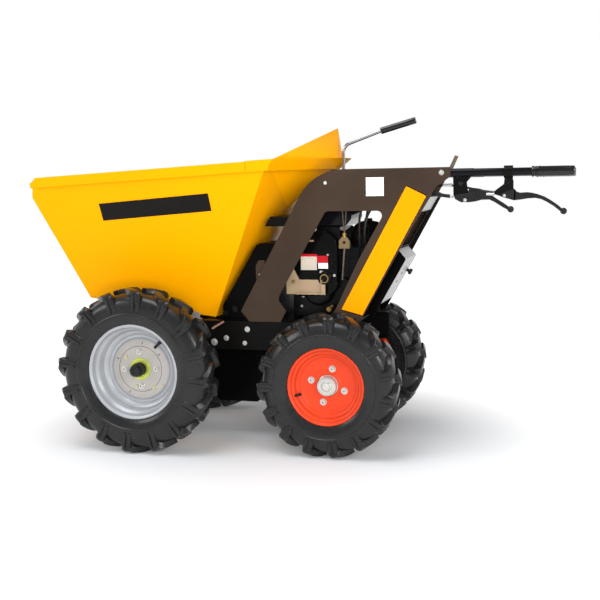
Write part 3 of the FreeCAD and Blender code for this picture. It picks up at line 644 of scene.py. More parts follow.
# ---------------------------------------------------------------------------
# Wheels
# ---------------------------------------------------------------------------
@dataclass(frozen=True)
class LugStation:
    """One section of a tread lug, in millimetres and degrees.

    The lead is how far the section runs ahead round the tyre, the drop how far it lies below the tyre's full
    radius, and the lean its outward direction from the radius.
    """

    along: float
    drop: float
    lean: float
    depth: float
    half_width: float
    lead: float
    fork: float


@dataclass(frozen=True)
class WheelStyle:
    """Sizes and finishes of one axle's wheels, in millimetres and degrees.

    The face and what lies behind it are the rim's section as (radius, along). The valve is given as its
    radius, turn and height on the disc.
    """

    bead: float
    ring_radius: float
    lug_end: float
    lugs: int
    finish: Finish
    slot: Slot
    face: tuple[Pair, ...]
    behind: tuple[Pair, ...]
    disc: float
    bolt_circle: float
    first_bolt: float
    valve: Point
    lug_turn: float


FRONT_STYLE = WheelStyle(
    bead=132.0, ring_radius=170.0, lug_end=181.0, lugs=16, finish=SILVER_PAINT, slot=Slot.SILVER_WHEEL,
    face=((140.0, 42.5), (138.5, 43.6), (134.5, 43.0), (131.0, 40.0), (129.5, 27.0), (127.5, 22.0),
          (122.5, 19.0), (119.5, 15.5), (117.5, 2.0), (114.5, -4.0), (106.0, -7.5), (101.0, -16.5),
          (94.0, -17.5), (91.0, -14.5), (88.0, -12.5), (70.0, -12.5), (68.7, -13.6), (67.3, -13.6),
          (66.0, -12.5), (31.2, -12.5)),
    behind=((31.2, -15.5), (89.0, -15.6), (93.0, -20.5), (103.0, -20.0), (112.0, -20.0), (122.0, -34.0)),
    disc=-12.5, bolt_circle=51.0, first_bolt=92.0, valve=(104.0, 50.5, -4.0), lug_turn=-6.0)
REAR_STYLE = WheelStyle(
    bead=104.0, ring_radius=150.0, lug_end=158.0, lugs=15, finish=ORANGE_PAINT, slot=Slot.ORANGE_WHEEL,
    face=((112.0, 42.5), (110.5, 43.6), (106.5, 42.6), (103.5, 39.0), (101.5, 33.0), (98.5, 31.2),
          (95.0, 30.5), (93.2, 27.0), (92.0, 20.5), (89.0, 18.2), (84.5, 17.2), (82.5, 13.8),
          (80.0, 12.2), (42.0, 12.0), (39.0, 13.4), (36.0, 14.8), (31.2, 15.0)),
    behind=((31.2, 12.0), (36.0, 11.6), (42.0, 9.0), (80.0, 9.0), (92.0, 2.0), (94.0, -30.0)),
    disc=12.0, bolt_circle=50.5, first_bolt=74.0, valve=(96.0, 198.0, 27.0), lug_turn=-4.5)


@dataclass
class Wheel:
    """One wheel: lugged tyre, dished rim, hub, bolts and valve."""

    end: End
    side: Side
    style: WheelStyle
    round_steps: int = 96
    wheel_bolts: int = 4
    nut_flutes: int = 24

    def __post_init__(self) -> None:
        """Take the wheel's place and reach from its frame nodes."""
        self.tag = "%s_%s" % (self.end.value, self.side.value)
        self.front = self.end is End.FRONT
        self.body = Body("wheel_" + self.tag)
        low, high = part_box("tyre_" + self.tag)
        self.centre = (Vector(low) + Vector(high)) / 2.0
        self.centre.z = Vector(high).z / 2.0
        self.radius = self.centre.z / MM
        self.half_width = (high[1] - low[1]) / 2.0 / MM
        self.outward = self.side.sign
        self.place = facing(self.centre, (0, self.outward, 0))

    def crown(self) -> list[Pair]:
        """Return the carcass's half section.

        Returns:
            Points as (along, radius), from the middle of the tread down to the bead.
        """
        lip = self.style.bead + 8.0
        tread = self.radius - 13.0
        ring = self.style.ring_radius
        drop = tread - ring
        wall = ring - lip
        return [(0.0, tread), (14.0, tread - 0.4), (26.0, tread - 2.2), (36.0, tread - 6.0),
                (43.5, tread - 12.0), (48.5, tread - 19.5), (51.5, tread - 28.0), (53.0, ring + drop * 0.30),
                (53.5, ring + 6.0), (53.8, ring + 2.6), (55.0, ring + 1.2), (55.0, ring - 1.2),
                (53.4, ring - 2.6), (52.4, ring - 0.35 * wall), (50.2, ring - 0.62 * wall),
                (47.2, ring - 0.82 * wall), (45.4, ring - 0.92 * wall), (44.4, lip + 1.2), (41.5, lip + 0.4),
                (39.2, lip)]

    def stations(self) -> list[LugStation]:
        """Return the sections of a lug.

        Returns:
            The sections, from the middle of the tread over the shoulder to the lug's forked end.
        """
        end = self.radius - self.style.lug_end
        middle = (26.0 + end) / 2.0
        reach = 48.0 if self.front else 42.0
        return [LugStation(2.0, 0.2, 0.0, 14.5, 9.5, reach, 0.0),
                LugStation(13.0, 0.3, 0.0, 15.0, 9.8, reach * 0.88, 0.0),
                LugStation(24.0, 0.6, 2.0, 16.0, 10.4, reach * 0.66, 0.0),
                LugStation(34.0, 1.4, 7.0, 17.5, 11.4, reach * 0.42, 0.0),
                LugStation(43.0, 3.2, 17.0, 19.0, 12.8, reach * 0.22, 0.0),
                LugStation(50.5, 7.0, 38.0, 19.0, 14.0, reach * 0.09, 0.0),
                LugStation(54.6, 13.5, 62.0, 15.0, 14.6, reach * 0.02, 1.4),
                LugStation(56.2, 22.0, 82.0, 10.0, 14.8, 0.0, 4.4),
                LugStation(56.4, middle, 90.0, 7.0, 14.8, 0.0, 5.0),
                LugStation(56.0, end, 92.0, 6.0, 14.8, 0.0, 5.0)]

    def spot(self, along: float, radius: float, angle: float) -> Vector:
        """Return a point of the wheel from its place along the axle, its radius and its turn."""
        return self.centre + Vector((radius * math.sin(angle), along, radius * math.cos(angle))) * MM

    def carcass(self, form: Form) -> None:
        """Add the tyre's carcass.

        Args:
            form: The mesh to add to.
        """
        half = self.crown()
        profile = list(reversed(half)) + [(-along, radius) for along, radius in half[1:]]
        seat = self.style.bead + 1.0
        profile += [(-38.0, seat), (38.0, seat)]
        section = [(radius, along) for along, radius in profile]
        form.lathe(in_metres(section), self.place, self.round_steps, closed=True)

    def lug_ring(self, station: LugStation, slope: Pair, side: int, turn: float) -> list[Vector]:
        """Return the ten points of one section of a lug.

        Args:
            station: The section.
            slope: Direction of the lug there, round the tyre and along its surface.
            side: 1 or -1, the side of the tread.
            turn: Angle of the lug round the wheel.

        Returns:
            The points, from one foot over the crown and its groove to the other foot.
        """
        lean = math.radians(station.lean)
        width = station.half_width
        groove, round_off, flare = 5.0, 0.8, 2.6
        half = [(groove - 0.7, station.fork), (groove, 0.0), (width - round_off, 0.0), (width, round_off),
                (width + flare, station.depth)]
        outline = [(-across, depth) for across, depth in reversed(half)] + half
        points = []
        for across, depth in outline:
            shift = across * slope[0]
            along = station.along - depth * math.sin(lean) + shift * math.cos(lean)
            radius = self.radius - station.drop - depth * math.cos(lean) - shift * math.sin(lean)
            along = min(max(along, 0.5), self.half_width - 0.1)
            radius = min(radius, self.radius)
            angle = turn + (station.lead + across * slope[1]) / self.radius
            points.append(self.spot(side * along, radius, angle))
        return points

    def lug(self, form: Form, side: int, turn: float) -> None:
        """Add one hooked lug, from the middle of the tread to its forked end on the shoulder.

        Args:
            form: The mesh to add to.
            side: 1 or -1, the side of the tread.
            turn: Angle of the lug round the wheel.
        """
        stations = self.stations()
        rings = []
        for index, station in enumerate(stations):
            before = stations[max(index - 1, 0)]
            after = stations[min(index + 1, len(stations) - 1)]
            run = math.hypot(after.along - before.along, after.drop - before.drop)
            gain = before.lead - after.lead
            length = math.hypot(run, gain) or 1.0
            rings.append(self.lug_ring(station, (gain / length, run / length), side, turn))
        form.sweep(rings)

    def tyre(self) -> None:
        """Build the tyre: the carcass and two rows of lugs, half a pitch apart."""
        form = Form()
        self.carcass(form)
        pitch = 2.0 * math.pi / self.style.lugs
        for number in range(self.style.lugs):
            turn = math.radians(self.style.lug_turn) + number * pitch
            self.lug(form, 1, turn)
            self.lug(form, -1, turn + 0.5 * pitch)
        piece = form.piece("tyre_%s_lugged" % self.tag, self.body, TYRE_RUBBER, Slot.TYRE, 36.0)
        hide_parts("tyre_" + self.tag)

    def rim(self) -> None:
        """Build the pressed rim: its stepped face, and the barrel with its two flanges behind it."""
        outer = self.style.bead
        barrel = ((outer - 4.0, -38.0), (outer + 4.0, -43.0), (outer + 8.0, -42.5), (outer + 7.6, -39.5),
                  (outer + 0.5, -38.8), (outer + 0.2, 38.8), (outer + 7.6, 39.5))
        form = Form()
        profile = self.style.face + self.style.behind + barrel
        form.lathe(in_metres(profile), self.place, self.round_steps, closed=True)
        piece = form.piece("rim_%s_pressed" % self.tag, self.body, self.style.finish, self.style.slot, 40.0)
        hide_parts("rim_" + self.tag)

    def disc_face(self) -> None:
        """Build the warm painted face of a front wheel's disc."""
        form = Form()
        section = [(31.2, 0.05), (87.4, 0.05), (87.9, 0.2), (87.4, 0.35), (31.2, 0.35)]
        form.lathe(in_metres(section, self.style.disc), self.place, self.round_steps, closed=True)
        form.piece("rim_disc_" + self.tag, self.body, WARM_SILVER, Slot.SILVER_WHEEL)

    def on_disc(self, radius: float, degrees: float, height: float) -> Matrix:
        """Return a place on the disc, its Z axis outboard and its X axis away from the axle.

        Args:
            radius: Distance from the axle in millimetres.
            degrees: Turn as seen from outboard, 0 to the right and 90 up.
            height: Distance outboard of the wheel's middle in millimetres.

        Returns:
            The place.
        """
        turn = math.radians(degrees)
        away = Vector((-self.outward * math.cos(turn), 0.0, math.sin(turn)))
        outboard = Vector((0.0, self.outward, 0.0))
        matrix = Matrix((away, outboard.cross(away), outboard)).transposed().to_4x4()
        matrix.translation = self.centre + (away * radius + outboard * height) * MM
        return matrix

    def hub(self) -> None:
        """Build the hub with its cap or nut."""
        disc = self.style.disc
        barrel = Form()
        barrel.lathe(in_metres(
            [(0, -90), (16, -90), (16, -50), (30, -50), (30, disc - 12), (60, disc - 11), (62, disc - 9),
             (62, disc - 3.6), (30.8, disc - 3.6), (30.8, disc - 1), (0, disc - 1)]), self.place, 64)
        piece = barrel.piece("hub_%s_turned" % self.tag, self.body, BLACK_COAT, Slot.ZINC)
        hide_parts("hub_" + self.tag)
        if self.front:
            self.front_nut(disc)
        else:
            self.rear_cap(disc)

    def front_nut(self, disc: float) -> None:
        """Build the passivated washer and the fluted black nut of a front wheel.

        Args:
            disc: Height of the disc's face in millimetres.
        """
        washer = Form()
        washer.lathe(in_metres(
            [(0, 0.2), (33, 0.2), (33, 2.2), (32, 3.2), (27.5, 3.2), (26.5, 4.4), (24, 4.4)], disc),
            self.place, 64)
        washer.piece("hub_washer_" + self.tag, self.body, PASSIVATED, Slot.ZINC)
        nut = Form()
        nut.lathe(in_metres(
            [(0, 3.0), (19.0, 3.0), (19.0, 30.0), (18.0, 32.5), (17.0, 39.5), (15.0, 42.5), (8.0, 43.0),
             (6.8, 41.0), (0, 41.0)], disc), self.place, 48)
        flute = [(0.0178, -0.0013), (0.0202, -0.0007), (0.0202, 0.0007), (0.0178, 0.0013)]
        for number in range(self.nut_flutes):
            turn = Matrix.Rotation(math.radians(360.0 / self.nut_flutes * number), 4, "Z")
            nut.prism(flute, self.place @ turn, (disc + 4.0) * MM, (disc + 30.5) * MM)
        nut.piece("hub_nut_" + self.tag, self.body, GRIP_RUBBER, Slot.ZINC)

    def rear_cap(self, disc: float) -> None:
        """Build the turned cap and centre bolt of a rear wheel.

        Args:
            disc: Height of the disc's face in millimetres.
        """
        cap = Form()
        cap.lathe(in_metres(
            [(0, 0.0), (30.5, 0.0), (30.5, 1.6), (28.5, 2.6), (28.5, 14.0), (26.8, 17.5), (23.0, 18.6),
             (22.3, 17.8), (21.6, 18.6), (15.5, 18.8), (14.6, 17.2), (0, 17.2)], disc), self.place, 64)
        cap.bolt(self.place @ Matrix.Translation((0, 0, (disc + 17.0) * MM)), 11.5 * MM, 8.5 * MM, 1.2)
        cap.piece("hub_cap_" + self.tag, self.body, ZINC, Slot.ZINC)

    def bolts(self) -> None:
        """Build the wheel bolts, and the darker discs of painted shade on their heads where the dimples are.
        """
        bolts = Form()
        dimple_shades = Form()
        size = 8.0
        for number in range(self.wheel_bolts):
            degrees = self.style.first_bolt + 360.0 / self.wheel_bolts * number
            seat = self.on_disc(self.style.bolt_circle, degrees, self.style.disc)
            head = self.on_disc(self.style.bolt_circle, degrees, self.style.disc + size)
            bolts.bolt(seat, size * MM, size * MM, 1.28)
            # A dark brown disc on each head is painted shade for the dimple's hollow.
            dimple_shades.lathe(in_metres([(0.0, 0.0), (2.6, 0.0), (2.3, 0.25), (0.0, 0.1)]), head, 20)
        bolts.piece("wheel_bolts_" + self.tag, self.body, ZINC, Slot.ZINC)
        dimple_shades.piece("wheel_bolt_dimple_shade_" + self.tag, self.body, STEEL_ROD, Slot.ZINC)

    def disc_fittings(self) -> None:
        """Build the small studs, and the flat black marks of painted shade for the slots and the pressed ring
        in a front wheel's disc.
        """
        disc = self.style.disc
        studs = Form()
        for radius, degrees, size in ((56.0, 143.0, 4.8), (55.0, 256.0, 4.8), (69.0, 308.0, 4.8),
                                      (84.0, 326.0, 2.8)):
            studs.bolt(self.on_disc(radius, degrees, disc), size * MM, 4.6 * MM, 1.3)
        studs.piece("wheel_studs_" + self.tag, self.body, PALE_PASSIVATED, Slot.ZINC)
        # The slots and the pressed ring are flat black marks laid on the disc: painted shade standing in for
        # the openings and the groove.
        shade_marks = Form()
        for radius, degrees in ((79.0, 242.0), (78.0, 84.0), (76.0, 36.0), (78.0, 158.0)):
            shade_marks.prism(oblong(-0.0045, 0.0045, 0.0009), self.on_disc(radius, degrees, disc), 0.0003, 0.0006)
        shade_marks.lathe(in_metres([(67.4, 0.3), (68.6, 0.3), (68.6, 0.45), (67.4, 0.45)], disc), self.place,
                    self.round_steps, closed=True)
        shade_marks.piece("wheel_slot_shade_" + self.tag, self.body, BLACK_COAT, Slot.SILVER_WHEEL)

    def valve(self) -> None:
        """Build the valve stem, which leans from the barrel towards the axle."""
        place = self.on_disc(*self.style.valve) @ Matrix.Rotation(math.radians(-64.0), 4, "Y")
        stem = Form()
        stem.lathe(in_metres(
            [(0, -4), (5.6, -4), (5.6, 1), (4.2, 4), (3.7, 12), (4.4, 12.5), (4.4, 19), (3.6, 20.4),
             (0, 20.4)]), place, 20)
        stem.piece("valve_stem_" + self.tag, self.body, GRIP_RUBBER, Slot.TYRE)

    def build(self) -> None:
        """Build every piece of the wheel."""
        self.tyre()
        self.rim()
        self.hub()
        if self.front:
            self.disc_face()
        self.bolts()
        if self.front:
            self.disc_fittings()
        self.valve()


# ---------------------------------------------------------------------------
# Tub
# ---------------------------------------------------------------------------
@dataclass(frozen=True)
class Tub:
    """The tipping tub: sheet-metal walls, turned rim, splash guard and a blank plate on each side."""

    rim_height: float = 0.8442
    half_width: float = 0.330
    side_lean: float = 0.5048
    side_flare: float = 0.02702
    flare_start: float = 0.040
    sheet_edge: float = 0.0007
    sheet_fold: float = 0.004
    rim_edge: float = 0.0026
    roll_x: float = 0.7762
    roll_z: float = 0.7885
    roll_reach: float = 0.316
    roll_radius: float = 0.0070
    plate: tuple[Pair, ...] = ((0.575, 0.680), (0.575, 0.730), (0.231, 0.756), (0.231, 0.706))
    plate_back: float = 0.0002
    plate_face: float = 0.0010

    def side_y(self, x: float, z: float) -> float:
        """Return how far out the left side panel is at a place."""
        return (self.half_width + self.side_flare * (x - self.flare_start)
                + self.side_lean * (z - self.rim_height))

    def build(self) -> None:
        """Build the tub's pieces."""
        soften("tub_shell", Body.TUB, YELLOW_COAT, Slot.YELLOW, self.sheet_edge, self.sheet_fold)
        soften("tub_rim", Body.TUB, YELLOW_COAT, Slot.YELLOW, self.rim_edge)
        soften("tub_rim_rear", Body.TUB, YELLOW_COAT, Slot.YELLOW, self.rim_edge)
        soften("tub_splash_guard", Body.TUB, YELLOW_COAT, Slot.YELLOW, self.sheet_edge, self.sheet_fold)
        soften("tub_underframe", Body.TUB, BLACK_COAT, Slot.BLACK)
        self.front_roll()
        self.plates()

    def front_roll(self) -> None:
        """Build the rolled edge along the top of the front wall."""
        roll = Form()
        roll.tube([(self.roll_x, -self.roll_reach, self.roll_z), (self.roll_x, self.roll_reach, self.roll_z)],
                  self.roll_radius, 18)
        roll.piece("tub_front_roll", Body.TUB, YELLOW_COAT, Slot.YELLOW)

    def plates(self) -> None:
        """Build the blank plate on each side panel."""
        normal = Vector((-self.side_flare, 1.0, -self.side_lean)).normalized()
        spots = [Vector((x, self.side_y(x, z), z)) for x, z in self.plate]
        for side in Side:
            flip = Vector((1, side.sign, 1))
            form = Form()
            form.sweep([[(spot + normal * lift) * flip for spot in spots]
                        for lift in (self.plate_back, self.plate_face)])
            form.piece("tub_plate_" + side.value, Body.TUB, DARK_LABEL, Slot.YELLOW)


# ---------------------------------------------------------------------------
# Chassis
# ---------------------------------------------------------------------------
@dataclass(frozen=True)
class Chassis:
    """Rails, axles, side plates, panels and what is bolted to them.

    Outlines are given as (x, z), bolts as (x, z, radius), and places on the rear panel as (height, across).
    """

    plate_face: float = 0.160
    plate_bolts: tuple[Point, ...] = ((-0.410, 0.803, 0.0064), (-0.379, 0.803, 0.0064))
    rail_face: float = 0.160
    rail_bolts: tuple[Point, ...] = ((0.168, 0.350, 0.006), (0.177, 0.308, 0.005), (0.235, 0.322, 0.006),
                                     (0.274, 0.309, 0.0075))
    rail_link: tuple[Pair, ...] = ((0.2405, 0.3700), (0.2435, 0.3740), (0.2790, 0.3540), (0.2825, 0.3485),
                                   (0.2770, 0.3475))
    rest_nuts: tuple[Point, ...] = ((0.238, 0.396, 0.007), (0.207, 0.410, 0.008))
    rest_face: float = 0.154
    panel_foot: Point = (-0.1556, 0.0, 0.3839)
    panel_lean: float = 29.7
    strip_height: float = 0.380
    guard_face: float = 0.038
    guard_slot_shades: tuple[Pair, ...] = ((0.165, 0.003), (0.138, 0.014))
    guard_knob: Pair = (0.170, -0.070)
    knob: tuple[Pair, ...] = ((0.0, 0.0), (0.005, 0.0), (0.005, 0.006), (0.009, 0.008), (0.010, 0.013),
                              (0.008, 0.017), (0.0, 0.018))
    cover_seat: float = 0.150
    cover_face: float = 0.0022
    cover: tuple[Pair, ...] = ((0.112, 0.500), (0.140, 0.500), (0.140, 0.540), (0.131, 0.556), (0.112, 0.556))
    cover_bolt: Point = (0.126, 0.512, 0.004)
    band: tuple[Pair, ...] = ((-0.312, 0.767), (-0.368, 0.739), (-0.183, 0.400), (-0.122, 0.416))
    band_edge: float = 0.003
    square: tuple[Pair, ...] = ((-0.197, 0.741), (-0.197, 0.793), (-0.248, 0.793), (-0.248, 0.741))

    def build(self) -> None:
        """Build the chassis pieces."""
        for node in ("side_plate_left", "side_plate_right", "console_panel"):
            soften(node, Body.CHASSIS, BROWN_COAT, Slot.PLATE, 0.0015)
        for node in ("chassis_rail_left", "chassis_rail_right", "tub_rest", "crossbar", "hinge_bracket"):
            soften(node, Body.CHASSIS, BLACK_COAT, Slot.BLACK, 0.0012)
        # The bay's pieces take the darker black, which paints in their shade.
        for node in ("engine_deck", "rear_panel", "belt_guard", "gearbox", "gearbox_beam"):
            soften(node, Body.CHASSIS, BAY_SHADED_BLACK, Slot.BLACK, 0.0012)
        soften("rear_guard", Body.CHASSIS, SILVER_SHEET, Slot.SILVER_SHEET, 0.003)
        self.rear_trim()
        self.drive_cover()
        self.links()
        soften("tub_latch", Body.CHASSIS, ZINC, Slot.ZINC, 0.0006)
        for node in ("axle_front", "axle_rear"):
            dress(node, BLACK_COAT)
        self.bands()
        self.fasteners()

    def on_panel(self, height: float, across: float, outwards: float) -> Matrix:
        """Return a place on the leaning rear panel, its Z axis outwards and its Y axis up the panel.

        Args:
            height: Distance up the panel.
            across: Place from the middle plane.
            outwards: Distance behind the panel's rear face.

        Returns:
            The place.
        """
        lean = math.radians(self.panel_lean)
        out = Vector((-math.cos(lean), 0.0, -math.sin(lean)))
        along = Vector((-math.sin(lean), 0.0, math.cos(lean)))
        spot = Vector(self.panel_foot) + along * height + out * outwards + Vector((0.0, across, 0.0))
        return facing(spot, out, along)

    def rear_trim(self) -> None:
        """Build the light strip at the top of the rear panel, the black marks of painted shade for the
        guard's slots, and the guard's knob.
        """
        strip = Form()
        strip.prism(oblong(-0.154, 0.154, 0.023), self.on_panel(self.strip_height, 0.0, 0.0), 0.0001, 0.0012)
        strip.piece("rear_strip", Body.CHASSIS, SILVER_SHEET, Slot.SILVER_SHEET, bevel=0.0003)
        shade_marks = Form()
        # The guard's slots are flat black patches on its face: painted shade standing in for the openings.
        for height, across in self.guard_slot_shades:
            place = self.on_panel(height, across, self.guard_face)
            shade_marks.prism(oblong(-0.012, 0.012, 0.003), place, -0.0004, 0.0003)
        shade_marks.piece("guard_slot_shades", Body.CHASSIS, BLACK_COAT, Slot.SILVER_SHEET)
        knob = Form()
        knob.lathe(self.knob, self.on_panel(*self.guard_knob, self.guard_face), 24)
        knob.piece("guard_knob", Body.CHASSIS, GRIP_RUBBER, Slot.BLACK)

    def drive_cover(self) -> None:
        """Build the brown cover strip on each side of the belt guard, each with its bolt."""
        cover = Form()
        bolts = Form()
        for side in Side:
            cover.slab(self.cover, self.cover_seat, 0.0001, self.cover_face, side)
            bolts.bolts([self.cover_bolt], self.cover_seat + self.cover_face, 0.004, 1.3, side)
        cover.piece("belt_cover_strips", Body.CHASSIS, BROWN_COAT, Slot.PLATE, bevel=0.0005)
        bolts.piece("belt_cover_bolts", Body.CHASSIS, ZINC, Slot.ZINC)

    def links(self) -> None:
        """Build the copper-plated link on each rail and the black nuts of the tub's rest."""
        link = Form()
        nuts = Form()
        for side in Side:
            link.slab(self.rail_link, self.rail_face, 0.0001, 0.0020, side)
            nuts.bolts(self.rest_nuts, self.rest_face, 0.007, 1.25, side)
        link.piece("rail_links", Body.CHASSIS, COPPER, Slot.ZINC, bevel=0.0005)
        nuts.piece("rest_nuts", Body.CHASSIS, BLACK_GLOSS, Slot.BLACK)

    def bands(self) -> None:
        """Build the blank yellow band with its dark edge, and the blank white square."""
        corners = [Vector(corner) for corner in self.band]
        middle = sum(corners, Vector((0.0, 0.0))) / len(corners)
        edge = [tuple(corner + (corner - middle).normalized() * self.band_edge) for corner in corners]
        for side in Side:
            back = Form()
            back.slab(edge, self.plate_face, 0.0001, 0.0004, side)
            back.piece("band_edge_" + side.value, Body.CHASSIS, DARK_LABEL, Slot.PLATE)
            face = Form()
            face.slab(self.band, self.plate_face, 0.0004, 0.0008, side)
            face.piece("band_" + side.value, Body.CHASSIS, YELLOW_LABEL, Slot.YELLOW)
        square = Form()
        square.slab(self.square, self.plate_face, 0.0002, 0.0007)
        square.piece("square_label_left", Body.CHASSIS, WHITE_LABEL, Slot.PLATE)

    def fasteners(self) -> None:
        """Build the bolts on the plates and rails."""
        bolts = Form()
        for side, plate_bolt in zip(Side, self.plate_bolts):
            bolts.bolts([plate_bolt], self.plate_face, 0.0055, 1.15, side)
            bolts.bolts(self.rail_bolts, self.rail_face, 0.0045, 1.4, side)
        bolts.piece("chassis_bolts", Body.CHASSIS, ZINC, Slot.ZINC)


def dress(node: str, finish: Finish) -> None:
    """Give a frame node that keeps its form a finish.

    Args:
        node: The node's name.
        finish: The finish.
    """
    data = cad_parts[node].data
    data.materials.clear()
    data.materials.append(finish.material())
    LOG.info("node %s keeps its form", node)


# ---------------------------------------------------------------------------
# Engine
# ---------------------------------------------------------------------------
@dataclass(frozen=True)
class Label:
    """A blank label on the engine's shroud, between two corners given as (x, z)."""

    name: str
    low: Pair
    high: Pair
    finish: Finish
    lift: float = 0.0


@dataclass(frozen=True)
class Engine:
    """The open engine between the side plates.

    Outlines are given as (x, z), bolts as (x, z, radius) and turned profiles as (radius, height).
    """

    shroud_face: float = 0.0951
    block_face: float = 0.0701
    link_y: float = 0.100
    filter_profile: tuple[Pair, ...] = (
        (0.0, 0.0), (0.050, 0.0), (0.0545, 0.003), (0.0545, 0.012), (0.0525, 0.014), (0.0525, 0.018),
        (0.0555, 0.020), (0.0555, 0.035), (0.053, 0.041), (0.0475, 0.053), (0.040, 0.0645), (0.028, 0.0735),
        (0.014, 0.0765), (0.0125, 0.0765), (0.0115, 0.084), (0.0, 0.0845))
    filter_ribs: int = 28
    elbow: tuple[Point, ...] = ((-0.080, 0.045, 0.612), (-0.114, 0.045, 0.618), (-0.140, 0.040, 0.640))
    elbow_radius: float = 0.019
    clevis: tuple[Pair, ...] = ((-0.134, 0.588), (-0.102, 0.588), (-0.102, 0.611), (-0.110, 0.622),
                                (-0.126, 0.622), (-0.134, 0.611))
    clevis_reach: float = 0.004
    choke_rod: tuple[Point, ...] = ((-0.188, 0.100, 0.800), (-0.190, 0.100, 0.705), (-0.176, 0.098, 0.640),
                                    (-0.178, 0.096, 0.596))
    labels: tuple[Label, ...] = (
        Label("engine_label_red_strip", (-0.034, 0.545), (0.017, 0.571), RED_LABEL),
        Label("engine_label_red", (-0.066, 0.545), (-0.0345, 0.566), RED_LABEL),
        Label("engine_label_small", (-0.066, 0.528), (-0.0365, 0.5445), WHITE_LABEL),
        Label("engine_label_white", (-0.0325, 0.5235), (0.0165, 0.5635), WARM_LABEL, 0.0007))
    label_thickness: float = 0.0006
    frame_low: Pair = (-0.0275, 0.5345)
    frame_high: Pair = (0.0115, 0.5585)
    frame_line: float = 0.0007
    shroud_bolts: tuple[Point, ...] = ((-0.0855, 0.508, 0.0035), (-0.0455, 0.517, 0.0042),
                                       (-0.066, 0.569, 0.0025), (-0.0265, 0.644, 0.0050))
    block_bolts: tuple[Point, ...] = ((0.018, 0.444, 0.0045), (0.023, 0.412, 0.003))
    boss: Pair = (-0.057, 0.499)
    cover: Point = (-0.035, 0.0695, 0.462)
    cover_radius: float = 0.046
    studs: tuple[Point, ...] = ((-0.083, 0.545, 0.0045), (-0.080, 0.530, 0.0032), (-0.092, 0.485, 0.006))
    shroud_fins: int = 6
    head_fins: int = 9

    def build(self) -> None:
        """Build the engine's pieces."""
        soften("engine_block", Body.CHASSIS, CASTING, Slot.CASTING, 0.003)
        soften("engine_head", Body.CHASSIS, CASTING, Slot.CASTING, 0.002)
        soften("engine_shroud", Body.CHASSIS, COWL_PLASTIC, Slot.PLASTIC, 0.004)
        soften("fuel_tank", Body.CHASSIS, BLACK_GLOSS, Slot.PLASTIC, 0.006)
        soften("control_plate", Body.CHASSIS, TAN_ZINC, Slot.ZINC, 0.0005)
        self.air_filter()
        self.intake_elbow()
        self.gear_link()
        self.rods()
        self.shroud_labels()
        self.fittings()
        self.control_lip()
        self.castings()
        self.fins()

    def air_filter(self) -> None:
        """Build the domed air filter with its ribbed shoulder and its knob."""
        low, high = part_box("air_filter")
        place = Matrix.Translation(((low[0] + high[0]) / 2.0, (low[1] + high[1]) / 2.0, low[2]))
        form = Form()
        form.lathe(self.filter_profile, place, 48)
        for number in range(self.filter_ribs):
            turn = place @ Matrix.Rotation(2.0 * math.pi * number / self.filter_ribs, 4, "Z")
            form.prism(oblong(0.041, 0.0556, 0.0016), turn, 0.036, 0.047)
            form.prism(oblong(0.034, 0.047, 0.0014), turn, 0.045, 0.0605)
        piece = form.piece("air_filter_dome", Body.CHASSIS, BLACK_COAT, Slot.PLASTIC)
        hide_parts("air_filter")

    def intake_elbow(self) -> None:
        """Build the elbow from the air filter to the head, with its flange."""
        elbow = Form()
        elbow.tube(eased(self.elbow, 0.02, 6), self.elbow_radius, 20)
        elbow.lathe([(0.0, 0.0), (0.024, 0.0), (0.024, 0.005), (0.0, 0.005)],
                    facing((-0.106, 0.045, 0.616), (1.0, 0.0, -0.15)), 24)
        elbow.piece("intake_elbow", Body.CHASSIS, CASTING, Slot.CASTING)

    def gear_link(self) -> None:
        """Build the gear link's clevis and the eye of its pin."""
        clevis = Form()
        clevis.slab(self.clevis, self.link_y, -self.clevis_reach, self.clevis_reach)
        piece = clevis.piece("gear_link_clevis", Body.CHASSIS, OLIVE_ZINC, Slot.ZINC, bevel=0.0008)
        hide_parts("gear_link")
        eye = Form()
        eye.lathe([(0.0, 0.0), (0.0042, 0.0), (0.0042, 0.0003), (0.0, 0.0003)],
                  sideways(-0.118, self.link_y + self.clevis_reach, 0.606), 20)
        eye.piece("gear_link_eye", Body.CHASSIS, BLACK_COAT, Slot.ZINC)

    def rods(self) -> None:
        """Build the pull rod, the fork above the clevis and the rod that crosses in front of the filter."""
        y = self.link_y
        steel = Form()
        steel.tube([(-0.118, y, 0.589), (-0.111, y, 0.496)], 0.0030, 14)
        for foot, top in ((-0.1175, -0.1125), (-0.1190, -0.1245)):
            steel.tube([(foot, y, 0.632), (top, y, 0.705), (top, y, 0.796)], 0.0017, 10)
        steel.piece("gear_link_rods", Body.CHASSIS, STEEL_ROD, Slot.ZINC)
        black = Form()
        black.tube(eased(self.choke_rod, 0.03, 6), 0.0032, 10)
        black.piece("choke_rod", Body.CHASSIS, FORGED, Slot.BLACK)

    def shroud_labels(self) -> None:
        """Build the blank labels on the shroud, and the fine frame and line on the largest."""
        for label in self.labels:
            form = Form()
            back = self.shroud_face + label.lift
            form.box((label.low[0], back, label.low[1]),
                     (label.high[0], back + self.label_thickness, label.high[1]))
            form.piece(label.name, Body.CHASSIS, label.finish, Slot.PLASTIC)
        largest = self.labels[-1]
        face = self.shroud_face + largest.lift + self.label_thickness
        (left, foot), (right, top) = self.frame_low, self.frame_high
        line = self.frame_line
        lines = Form()
        for low, high in (((left, foot), (right, foot + line)), ((left, top - line), (right, top)),
                          ((left, foot), (left + line, top)), ((right - line, foot), (right, top)),
                          ((largest.low[0], 0.5285), (largest.high[0], 0.5300))):
            lines.box((low[0], face, low[1]), (high[0], face + 0.0002, high[1]))
        lines.piece("engine_label_frame", Body.CHASSIS, GREY_LABEL, Slot.PLASTIC)

